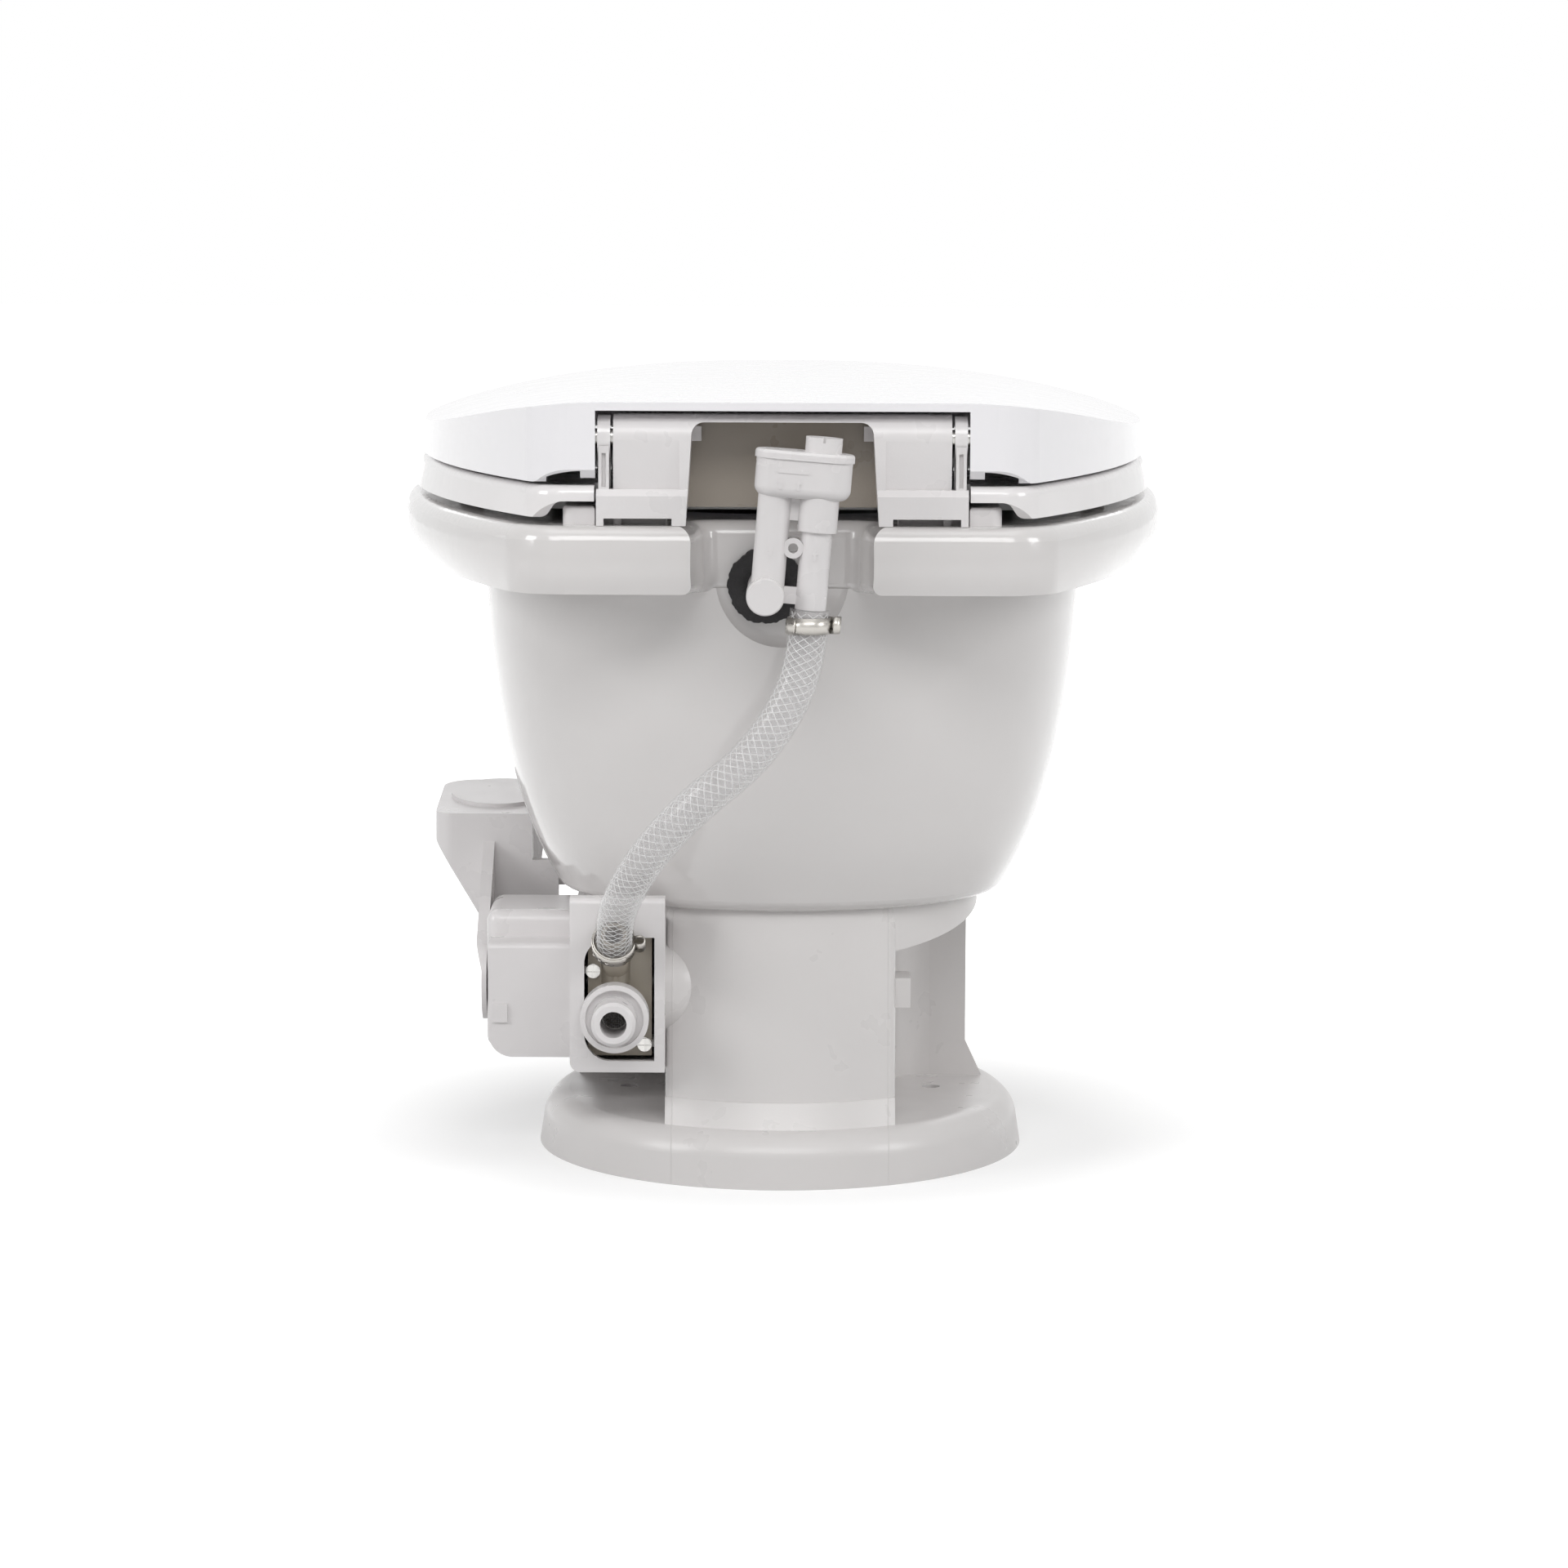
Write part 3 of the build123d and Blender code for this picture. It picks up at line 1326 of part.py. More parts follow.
with BuildPart() as water_hose:
    with BuildLine() as route:
        FilletPolyline(*hose_points, radius=hose_bends)
    with BuildSketch(Plane(origin=hose_points[0], z_dir=hose_runs[0])):
        Circle(hose_radius)
        Circle(hose_bore, mode=Mode.SUBTRACT)
    sweep(path=route.wire())
hose_section = pi * (hose_radius ** 2 - hose_bore ** 2)
print("hose volume", round(water_hose.part.volume), "section x length", round(hose_section * route.wire().length))
save(water_hose, "water_hose")

# Clamps at both ends of the hose, each with the ear that tightens it
with BuildPart() as hose_clamps:
    for place, away in (
        (breaker.offset(leg_bottom_w - clamp_set_back - band_width), supply_leg_u),
        (barb.offset(barb_shoulder + clamp_end_gap), 0),
    ):
        with BuildSketch(place):
            with Locations((away - hose_radius - ear_reach / 2, 0)):
                Rectangle(ear_reach, ear_width)
            with Locations((away, 0)):
                Circle(hose_radius + band_thickness)
                Circle(hose_radius + press_gap, mode=Mode.SUBTRACT)
        extrude(amount=band_width)
save(hose_clamps, "hose_clamps")


# Water valve: plate, body with an annular passage, and the outlet column with its barb
with BuildPart() as valve_body:
    with BuildSketch(facing_rear(valve_plate_y)):
        with Locations((-(valve_plate_left + valve_plate_right) / 2, (valve_plate_low + valve_plate_top) / 2)):
            Rectangle(valve_plate_right - valve_plate_left, valve_plate_top - valve_plate_low)
    extrude(amount=valve_plate_thickness)
    with BuildSketch(facing_rear(valve_front)):
        with Locations((-valve_x, shaft_z)):
            Circle(valve_body_radius)
    extrude(amount=valve_plate_y - valve_front)
    with BuildSketch(Plane.XY.offset(shaft_z + column_start)):
        with Locations((valve_x, valve_plate_y)):
            Circle(column_bulge)
    extrude(amount=column_end - column_start)
    with BuildSketch(Plane.XY.offset(shaft_z + column_start)):
        with Locations((valve_x, valve_plate_y + column_bulge)):
            Rectangle(rib_width, rib_width)
    extrude(amount=column_rib_height)
    with BuildSketch(barb):
        Circle(barb_radius)
    extrude(amount=barb_shoulder + barb_length)
    # Annular passage round the inner tube, valve seat, gland and outlet bore
    with BuildSketch(facing_rear(valve_front + gland_length)):
        with Locations((-valve_x, shaft_z)):
            Circle(valve_body_radius - valve_wall)
            Circle(inner_tube_radius, mode=Mode.SUBTRACT)
    extrude(amount=valve_plate_y - valve_front - gland_length, mode=Mode.SUBTRACT)
    with BuildSketch(facing_rear(valve_front + gland_length)):
        with Locations((-valve_x, shaft_z)):
            Circle(inner_tube_radius)
    extrude(amount=valve_seat_y - valve_lip - valve_front - gland_length, mode=Mode.SUBTRACT)
    with BuildSketch(facing_rear(valve_seat_y)):
        with Locations((-valve_x, shaft_z)):
            Circle(supply_bore)
    extrude(amount=valve_plate_y, mode=Mode.SUBTRACT)
    with BuildSketch(facing_rear(valve_seat_y - valve_lip)):
        with Locations((-valve_x, shaft_z)):
            Circle(valve_lip_bore)
    extrude(amount=valve_lip, mode=Mode.SUBTRACT)
    with BuildSketch(facing_rear(valve_front)):
        with Locations((-valve_x, shaft_z)):
            Circle(rod_radius + pin_gap)
    extrude(amount=gland_length, mode=Mode.SUBTRACT)
    with BuildSketch(Plane.XY.offset(shaft_z + inner_tube_radius)):
        with Locations((valve_x, valve_plate_y - rod_radius)):
            Circle(column_bore)
    extrude(amount=barb_z - shaft_z - inner_tube_radius, mode=Mode.SUBTRACT)
    with BuildSketch(barb.offset(-barb_bore)):
        Circle(barb_bore)
    extrude(amount=barb_shoulder + barb_length + barb_bore, mode=Mode.SUBTRACT)
    for x, z in valve_screw_spots:
        with BuildSketch(facing_rear(valve_plate_y)):
            with Locations((-x, z)):
                Circle(valve_screw_radius + press_gap)
        extrude(amount=valve_plate_thickness, mode=Mode.SUBTRACT)
save(valve_body, "valve_body")

with BuildPart() as valve_inlet:
    plate_face_y = valve_plate_y + valve_plate_thickness
    with BuildSketch(facing_rear(plate_face_y)):
        with Locations((-valve_x, shaft_z)):
            Circle(supply_radius)
    extrude(amount=supply_end_y - plate_face_y)
    chamfer(valve_inlet.edges().group_by(Axis.Y)[-1], supply_chamfer)
    with BuildSketch(facing_rear(plate_face_y)):
        with Locations((-valve_x, shaft_z)):
            Circle(inlet_neck_radius)
    extrude(amount=collar_front_y - plate_face_y)
    with BuildSketch(facing_rear(collar_front_y)):
        with Locations((-valve_x, shaft_z)):
            Circle(collar_radius)
    extrude(amount=collar_rear_y - collar_front_y)
    with BuildSketch(facing_rear(collar_rear_y - collar_groove)):
        with Locations((-valve_x, shaft_z)):
            Circle(collar_radius - valve_wall)
            Circle(supply_radius, mode=Mode.SUBTRACT)
    extrude(amount=collar_groove, mode=Mode.SUBTRACT)
    with BuildSketch(facing_rear(plate_face_y)):
        with Locations((-valve_x, shaft_z)):
            Circle(supply_bore)
    extrude(amount=supply_end_y - plate_face_y, mode=Mode.SUBTRACT)
save(valve_inlet, "valve_inlet")

with BuildPart() as inlet_screen:
    with BuildSketch(facing_rear(screen_y)):
        with Locations((-valve_x, shaft_z)):
            Circle(supply_bore)
            with GridLocations(screen_pitch, screen_pitch, 3, 3):
                Circle(screen_pitch / 3, mode=Mode.SUBTRACT)
    extrude(amount=1)
save(inlet_screen, "inlet_screen")

with BuildPart() as valve_screws:
    for x, z in valve_screw_spots:
        with BuildSketch(facing_rear(plate_face_y)):
            with Locations((-x, z)):
                RegularPolygon(2 * valve_screw_radius, 6)
                Rectangle(4 * valve_screw_radius, 0.8, mode=Mode.SUBTRACT)
        extrude(amount=valve_screw_radius)
        with BuildSketch(facing_rear(plate_face_y)):
            with Locations((-x, z)):
                Circle(2 * valve_screw_radius)
        extrude(amount=valve_screw_radius / 2)
        with BuildSketch(facing_rear(plate_face_y - valve_screw_length)):
            with Locations((-x, z)):
                Circle(valve_screw_radius)
        extrude(amount=valve_screw_length)
save(valve_screws, "valve_screws")

# Plunger that the cam pushes to open the valve
plunger_y = cam_radius - cam_throw * sin(radians(flush_travel / 2)) + running_gap
with BuildPart() as valve_plunger:
    with BuildSketch(facing_rear(plunger_y)):
        with Locations((-valve_x, shaft_z)):
            Circle(valve_seat_radius)
    extrude(amount=rod_radius)
    with BuildSketch(facing_rear(plunger_y)):
        with Locations((-valve_x, shaft_z)):
            Circle(rod_radius)
    extrude(amount=valve_seat_y - plunger_y + rod_radius)
    with BuildSketch(facing_rear(valve_seat_y + press_gap)):
        with Locations((-valve_x, shaft_z)):
            Circle(valve_seat_radius)
    extrude(amount=2 * rod_radius)
save(valve_plunger, "valve_plunger")

# Drive shaft from the ball valve to the pedal, with the cam that works the water valve
with BuildPart() as drive_shaft:
    with BuildSketch(across(arm_inner)):
        with Locations((0, shaft_z)):
            Circle(shaft_radius)
    extrude(amount=shaft_end_x - arm_inner)
    with BuildSketch(across(shaft_end_x - screw_depth)):
        with Locations((0, shaft_z)):
            Circle(pedal_screw_radius + pin_gap)
    extrude(amount=screw_depth, mode=Mode.SUBTRACT)
save(drive_shaft, "drive_shaft")

cam_turn = radians(flush_travel / 2)
with BuildPart() as drive_cam:
    with BuildSketch(across(valve_x - cam_width / 2)):
        with Locations((-cam_throw * sin(cam_turn), shaft_z - cam_throw * cos(cam_turn))):
            Circle(cam_radius)
        with Locations((0, shaft_z)):
            Circle(shaft_radius, mode=Mode.SUBTRACT)
    extrude(amount=cam_width)
save(drive_cam, "drive_cam")


# Housing of the water valve, in the pocket of the base; its rear frame stands up behind the bowl
with BuildPart() as valve_housing:
    with BuildSketch(Plane.XY.offset(housing_bottom)):
        with Locations(((housing_inner_x + housing_outer_x) / 2, (housing_front + housing_rear) / 2)):
            Rectangle(housing_outer_x - housing_inner_x, housing_rear - housing_front)
    extrude(amount=housing_low_top - housing_bottom)
    with BuildSketch(Plane.XY.offset(housing_bottom)):
        with Locations(((housing_inner_x + housing_outer_x) / 2, (housing_raised_y + housing_rear) / 2)):
            Rectangle(housing_outer_x - housing_inner_x, housing_rear - housing_raised_y)
    extrude(amount=housing_top - housing_bottom)
    fillet(valve_housing.edges().filter_by(Axis.Y).group_by(Axis.X)[-1].group_by(Axis.Z)[0], housing_round)
    fillet(valve_housing.edges().filter_by(Axis.X).group_by(Axis.Z)[-1], housing_edge_round)
    with BuildSketch(Plane.XY.offset(housing_bottom + housing_wall)):
        with Locations(((housing_inner_x + housing_outer_x) / 2, (housing_front + housing_rear) / 2)):
            Rectangle(housing_outer_x - housing_inner_x - 2 * housing_wall,
                      housing_rear - housing_front - 2 * housing_wall)
    extrude(amount=housing_low_top - housing_bottom - 2 * housing_wall, mode=Mode.SUBTRACT)
    # Rear opening, with its two corners on the pedal side rounded
    with BuildSketch(facing_rear(housing_rear - housing_wall)) as rear_opening:
        with Locations((-(opening_left + opening_right) / 2, (opening_low + opening_top) / 2)):
            Rectangle(opening_right - opening_left, opening_top - opening_low)
        fillet(rear_opening.vertices().group_by(Axis.X)[0], opening_round)
    extrude(amount=housing_wall, mode=Mode.SUBTRACT)
    # Screw bosses for the valve plate
    for (x, z), wall_x in zip(valve_screw_spots, (housing_outer_x - housing_wall, housing_inner_x + housing_wall)):
        with BuildSketch(facing_rear(valve_plate_y - housing_boss_length)):
            with Locations((-x, z)):
                Circle(housing_boss_radius)
            with Locations((-(x + wall_x) / 2, z)):
                Rectangle(abs(wall_x - x), 2 * valve_screw_radius)
            with Locations((-x, z)):
                Circle(valve_screw_radius, mode=Mode.SUBTRACT)
        extrude(amount=housing_boss_length)
    # Shaft holes in both side walls
    with BuildSketch(across(housing_inner_x)):
        with Locations((0, shaft_z)):
            Circle(shaft_radius + running_gap)
    extrude(amount=housing_outer_x - housing_inner_x, mode=Mode.SUBTRACT)
save(valve_housing, "valve_housing")


# Hub cover beside the housing: a lower block that stands out and an upper part set back
with BuildPart() as hub_rear_block:
    with BuildSketch(across(housing_outer_x)):
        with Locations(((hub_step_y - hub_round + hub_rear) / 2, (hub_bottom + hub_step_z) / 2)):
            Rectangle(hub_rear - hub_step_y + hub_round, hub_step_z - hub_bottom)
    extrude(amount=hub_outer_x - housing_outer_x - hub_end_set_back)
    fillet(hub_rear_block.edges().filter_by(Axis.Y).group_by(Axis.X)[-1].sort_by(Axis.Z)[0], 2 * hub_round)
    fillet(hub_rear_block.edges().filter_by(Axis.X).group_by(Axis.Z)[-1].sort_by(Axis.Y)[-1], hub_round / 2)

with BuildPart() as hub_cover:
    with BuildSketch(across(housing_outer_x)):
        with Locations(((hub_front + hub_step_y) / 2, (hub_bottom + hub_top) / 2)):
            Rectangle(hub_step_y - hub_front, hub_top - hub_bottom)
    extrude(amount=hub_outer_x - housing_outer_x)
    fillet(hub_cover.edges().filter_by(Axis.Y).group_by(Axis.X)[-1], hub_round)
    fillet(hub_cover.edges().filter_by(Axis.X).group_by(Axis.Z)[-1], hub_round)
    add(hub_rear_block.part)
    with BuildSketch(across(housing_outer_x)):
        with Locations(((hub_front + hub_step_y) / 2, (hub_bottom + hub_top) / 2)):
            Rectangle(hub_step_y - hub_front - 2 * hub_wall_thickness,
                      hub_top - hub_bottom - 2 * hub_wall_thickness)
    extrude(amount=hub_outer_x - housing_outer_x - hub_wall_thickness, mode=Mode.SUBTRACT)
    with BuildSketch(across(housing_outer_x)):
        with Locations(((hub_step_y - 2 * hub_wall_thickness + hub_rear - hub_wall_thickness) / 2,
                        (hub_bottom + hub_step_z) / 2)):
            Rectangle(hub_rear - hub_step_y + hub_wall_thickness,
                      hub_step_z - hub_bottom - 2 * hub_wall_thickness)
    extrude(amount=hub_outer_x - housing_outer_x - hub_end_set_back - hub_wall_thickness,
            mode=Mode.SUBTRACT)
    # Hole for the pedal hub, and the snap tab on the rear
    with BuildSketch(across(hub_outer_x - hub_wall_thickness)):
        with Locations((0, shaft_z)):
            Circle(pedal_boss_radius + running_gap)
    extrude(amount=hub_wall_thickness, mode=Mode.SUBTRACT)
    with BuildSketch(facing_rear(hub_rear)):
        with Locations((-snap_tab_x, snap_tab_z)):
            Rectangle(snap_tab_width, snap_tab_height)
    extrude(amount=snap_tab_depth)
save(hub_cover, "hub_cover")

with BuildPart() as spring_cartridge:
    with BuildSketch(across(housing_outer_x)):
        with Locations((0, shaft_z)):
            Circle(cartridge_radius)
            Circle(cartridge_radius - hub_wall_thickness, mode=Mode.SUBTRACT)
    extrude(amount=cartridge_end_x - housing_outer_x)
    with BuildSketch(across(cartridge_end_x - hub_wall_thickness)):
        with Locations((0, shaft_z)):
            Circle(cartridge_radius)
            Circle(shaft_radius + running_gap, mode=Mode.SUBTRACT)
    extrude(amount=hub_wall_thickness)
save(spring_cartridge, "spring_cartridge")

with BuildPart() as return_spring:
    with BuildSketch(across(housing_outer_x)):
        with Locations((0, shaft_z)):
            Circle(spring_outer)
            Circle(spring_inner, mode=Mode.SUBTRACT)
    extrude(amount=cartridge_end_x - hub_wall_thickness - housing_outer_x)
save(return_spring, "return_spring")


# Foot pedal: a hollow platform on a neck, and a cheek that reaches back to the shaft
pedal_slope = (pedal_front_top - pedal_rear_top) / (pedal_rear - pedal_front)


def pedal_outline(inset):
    """Pedal seen from above, narrower where it passes the bowl."""
    with BuildSketch() as face:
        Polygon(
            (pedal_inner_x + inset, pedal_rear - inset),
            (pedal_outer_x - inset, pedal_rear - inset),
            (pedal_outer_x - inset, pedal_front + inset),
            (pedal_tip_x + inset, pedal_front + inset),
            (pedal_tip_x + inset, pedal_taper_y),
            (pedal_inner_x + inset, pedal_neck_front),
            align=None,
        )
        fillet(face.vertices().group_by(Axis.Y)[0], pedal_corner - inset)
        fillet(face.vertices().group_by(Axis.Y)[-1].sort_by(Axis.X)[-1], pedal_corner / 2 - inset)
    return face.sketch


def pedal_side(inset):
    """Pedal seen from the side: the neck under the rear end of the sloping platform."""
    with BuildSketch() as face:
        Polygon(
            (pedal_rear - inset, pedal_neck_low),
            (pedal_rear - inset, pedal_rear_top - inset),
            (pedal_front + inset, pedal_front_top - inset),
            (pedal_front + inset, pedal_front_top - pedal_depth),
            (pedal_neck_front - pedal_corner / 2, pedal_rear_top - pedal_depth),
            (pedal_neck_front + inset, pedal_neck_low),
            align=None,
        )
    return face.sketch


def pedal_back(inset):
    """Pedal seen from behind: upright sides, then a gusset that slants in to the neck."""
    with BuildSketch() as face:
        Polygon(
            (-pedal_tip_x - inset, pedal_neck_low),
            (-pedal_cheek_x + inset, pedal_neck_low),
            (-pedal_cheek_x + inset, pedal_gusset_low),
            (-pedal_outer_x + inset, pedal_gusset_top),
            (-pedal_outer_x + inset, pedal_front_top),
            (-pedal_tip_x - inset, pedal_front_top),
            align=None,
        )
    return face.sketch


with BuildPart() as pedal_hollow:
    with BuildSketch(Plane.XY.offset(pedal_neck_low)):
        add(pedal_outline(pedal_wall))
    extrude(amount=pedal_front_top - pedal_neck_low)
    with BuildSketch(across(pedal_tip_x)):
        Polygon(
            (pedal_rear - pedal_wall, pedal_neck_low),
            (pedal_rear - pedal_wall, pedal_rear_top - pedal_wall),
            (pedal_front + pedal_wall, pedal_front_top - pedal_wall),
            (pedal_front + pedal_wall, pedal_neck_low),
            align=None,
        )
    extrude(amount=pedal_outer_x - pedal_tip_x, mode=Mode.INTERSECT)
    with BuildSketch(facing_rear(pedal_front)):
        add(pedal_back(pedal_wall))
    extrude(amount=pedal_rear - pedal_front, mode=Mode.INTERSECT)

with BuildPart() as pedal_cheek:
    with BuildSketch(across(hub_outer_x + running_gap)):
        with Locations((0, shaft_z)):
            Circle(cheek_radius)
        Polygon(
            (-cheek_radius * 0.6, shaft_z - cheek_radius * 0.8),
            (pedal_neck_front, pedal_neck_low),
            (pedal_neck_front, pedal_gusset_top),
            (pedal_rear, pedal_gusset_top),
            (cheek_radius * 0.4, shaft_z + cheek_radius * 0.9),
            align=None,
        )
    extrude(amount=pedal_cheek_x - hub_outer_x - running_gap)
    with BuildSketch(facing_rear(pedal_neck_front)):
        Polygon(
            (-hub_outer_x, shaft_z - cheek_radius),
            (-hub_outer_x - cheek_thin, shaft_z - cheek_radius),
            (-hub_outer_x - cheek_thin, shaft_z + shaft_radius),
            (-pedal_cheek_x, pedal_gusset_low),
            (-pedal_cheek_x, pedal_front_top),
            (-hub_outer_x, pedal_front_top),
            align=None,
        )
    extrude(amount=cheek_radius - pedal_neck_front, mode=Mode.INTERSECT)

with BuildPart() as pedal:
    with BuildSketch(Plane.XY.offset(pedal_neck_low)):
        add(pedal_outline(0))
    extrude(amount=pedal_front_top - pedal_neck_low)
    with BuildSketch(across(pedal_tip_x)):
        add(pedal_side(0))
    extrude(amount=pedal_outer_x - pedal_tip_x, mode=Mode.INTERSECT)
    with BuildSketch(facing_rear(pedal_front)):
        add(pedal_back(0))
    extrude(amount=pedal_rear - pedal_front, mode=Mode.INTERSECT)
    # Raised oval where the foot presses
    with BuildSketch(Plane(
        origin=(pedal_pad_x, pedal_pad_y, pedal_rear_top + (pedal_rear - pedal_pad_y) * pedal_slope),
        x_dir=(1, 0, 0),
        z_dir=(0, pedal_slope, 1),
    )):
        Ellipse(pedal_pad_half_width, pedal_pad_half_length)
    extrude(amount=pedal_pad_height, both=True)
    add(pedal_hollow.part, mode=Mode.SUBTRACT)
    add(pedal_cheek.part)
    # Inner end of the neck, and the rib beside it
    with BuildSketch(Plane.XY.offset(pedal_neck_low)):
        with Locations(((pedal_neck_inner_x + pedal_inner_x + pedal_wall) / 2, pedal_rear - pedal_wall)):
            Rectangle(pedal_inner_x + pedal_wall - pedal_neck_inner_x, 2 * pedal_wall)
    extrude(amount=pedal_neck_inner_top - pedal_neck_low)
    with BuildSketch(Plane.XY.offset(pedal_rib_low)):
        with Locations(((pedal_rib_x + pedal_inner_x) / 2, pedal_rib_y)):
            Rectangle(pedal_inner_x - pedal_rib_x, pedal_rib_depth)
    extrude(amount=pedal_wall)
    with BuildSketch(Plane.XY.offset(pedal_rib_low)):
        with Locations((pedal_rib_x + pedal_rib_width / 2, pedal_rib_y)):
            Rectangle(pedal_rib_width, pedal_rib_depth)
    extrude(amount=pedal_rib_top - pedal_rib_low)
    # Hub boss on the shaft, and the seat of the pedal screw
    with BuildSketch(across(pedal_boss_inner_x)):
        with Locations((0, shaft_z)):
            Circle(pedal_boss_radius)
    extrude(amount=hub_outer_x + running_gap - pedal_boss_inner_x)
    with BuildSketch(across(pedal_boss_inner_x)):
        with Locations((0, shaft_z)):
            Circle(shaft_radius + pin_gap)
    extrude(amount=shaft_end_x - pedal_boss_inner_x, mode=Mode.SUBTRACT)
    with BuildSketch(across(shaft_end_x)):
        with Locations((0, shaft_z)):
            Circle(2 * pedal_screw_radius)
    extrude(amount=cheek_thin, mode=Mode.SUBTRACT)
save(pedal, "pedal")

with BuildPart() as pedal_screw:
    with BuildSketch(across(shaft_end_x)):
        with Locations((0, shaft_z)):
            Circle(2 * pedal_screw_radius)
    extrude(amount=pedal_screw_head)
    with BuildSketch(across(shaft_end_x - screw_depth + running_gap)):
        with Locations((0, shaft_z)):
            Circle(pedal_screw_radius)
    extrude(amount=screw_depth - running_gap)
save(pedal_screw, "pedal_screw")
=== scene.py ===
import bmesh
import bpy
import numpy as np
from mathutils import Matrix, Vector


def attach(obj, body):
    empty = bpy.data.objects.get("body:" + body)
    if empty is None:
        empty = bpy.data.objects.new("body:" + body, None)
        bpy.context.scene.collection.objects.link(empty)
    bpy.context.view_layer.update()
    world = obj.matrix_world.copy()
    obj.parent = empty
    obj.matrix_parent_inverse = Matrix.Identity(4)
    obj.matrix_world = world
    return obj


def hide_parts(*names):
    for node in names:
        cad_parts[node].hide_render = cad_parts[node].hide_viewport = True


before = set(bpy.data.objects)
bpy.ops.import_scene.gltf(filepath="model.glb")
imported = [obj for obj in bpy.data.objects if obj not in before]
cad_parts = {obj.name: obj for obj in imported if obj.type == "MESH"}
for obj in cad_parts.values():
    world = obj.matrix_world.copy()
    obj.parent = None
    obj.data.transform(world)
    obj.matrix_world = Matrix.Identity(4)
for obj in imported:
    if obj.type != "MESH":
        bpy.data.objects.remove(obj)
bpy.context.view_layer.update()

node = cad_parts


# Camera: behind the toilet at about knee height, 2.7 m away, looking slightly down.
# The lens is long, so the rim's near and far edges look almost parallel.
camera_place = Vector((-0.0013, 2.7, 0.512))
camera_pitch, camera_roll, camera_lens = 0.1225, 0.0041, 124.44
camera_near, camera_far = 0.1, 50.0

camera = bpy.data.objects.new("camera", bpy.data.cameras.new("camera"))
camera.data.lens, camera.data.sensor_width = camera_lens, 36.0
camera.data.clip_start, camera.data.clip_end = camera_near, camera_far
camera.matrix_world = (
    Matrix.Translation(camera_place)
    @ Matrix.Rotation(np.pi, 4, "Z")
    @ Matrix.Rotation(np.pi / 2 - camera_pitch, 4, "X")
    @ Matrix.Rotation(camera_roll, 4, "Z")
)
bpy.context.scene.collection.objects.link(camera)
bpy.context.scene.camera = camera


# Studio: a white floor that runs out of view, a white surround and large soft lamps.
# The floor keeps the object's shadow; camera, mirror and glass rays see it as white.
floor_half, floor_colour = 12.0, 0.62
floor_lift, floor_lift_far, floor_near, floor_far = 0.42, 1.0, 0.16, 0.4
surround_fill, surround_white = 0.3, 1.0

bpy.context.scene.view_settings.view_transform = "Standard"


def seen_directly(nodes, links):
    """1 for camera, glossy and transmission rays, 0 for the rays that light things."""
    path = nodes.new("ShaderNodeLightPath")
    total = path.outputs["Is Camera Ray"]
    for ray in ("Is Glossy Ray", "Is Transmission Ray"):
        add = nodes.new("ShaderNodeMath")
        add.operation, add.use_clamp = "ADD", True
        links.new(total, add.inputs[0])
        links.new(path.outputs[ray], add.inputs[1])
        total = add.outputs[0]
    return total


world = bpy.data.worlds.new("surround")
world.use_nodes = True
bpy.context.scene.world = world
strength = world.node_tree.nodes.new("ShaderNodeMapRange")
world.node_tree.links.new(
    seen_directly(world.node_tree.nodes, world.node_tree.links), strength.inputs["Value"]
)
strength.inputs["To Min"].default_value = surround_fill
strength.inputs["To Max"].default_value = surround_white
world.node_tree.nodes["Background"].inputs["Color"].default_value = (1, 1, 1, 1)
world.node_tree.links.new(
    strength.outputs[0], world.node_tree.nodes["Background"].inputs["Strength"]
)

floor_mesh = bpy.data.meshes.new("floor")
floor_mesh.from_pydata(
    [(-floor_half, -floor_half, 0), (floor_half, -floor_half, 0),
     (floor_half, floor_half, 0), (-floor_half, floor_half, 0)],
    [], [(0, 1, 2, 3)],
)
floor = bpy.data.objects.new("floor", floor_mesh)
bpy.context.scene.collection.objects.link(floor)
floor_paint = bpy.data.materials.new("floor_white")
floor_paint.use_nodes = True
tree = floor_paint.node_tree
surface = tree.nodes["Principled BSDF"]
surface.inputs["Base Color"].default_value = (floor_colour,) * 3 + (1,)
surface.inputs["Roughness"].default_value = 0.9
surface.inputs["Specular IOR Level"].default_value = 0.0
surface.inputs["Emission Color"].default_value = (1, 1, 1, 1)
where = tree.nodes.new("ShaderNodeTexCoord")
away = tree.nodes.new("ShaderNodeVectorMath")
away.operation = "LENGTH"
tree.links.new(where.outputs["Object"], away.inputs[0])
fade = tree.nodes.new("ShaderNodeMapRange")
tree.links.new(away.outputs["Value"], fade.inputs["Value"])
for key, number in zip(("From Min", "From Max", "To Min", "To Max"),
                       (floor_near, floor_far, floor_lift, floor_lift_far)):
    fade.inputs[key].default_value = number
lift = tree.nodes.new("ShaderNodeMath")
lift.operation = "MULTIPLY"
tree.links.new(fade.outputs[0], lift.inputs[1])
tree.links.new(seen_directly(tree.nodes, tree.links), lift.inputs[0])
tree.links.new(lift.outputs[0], surface.inputs["Emission Strength"])
floor_mesh.materials.append(floor_paint)

lamp_aim = Vector((0, 0, 0.2))
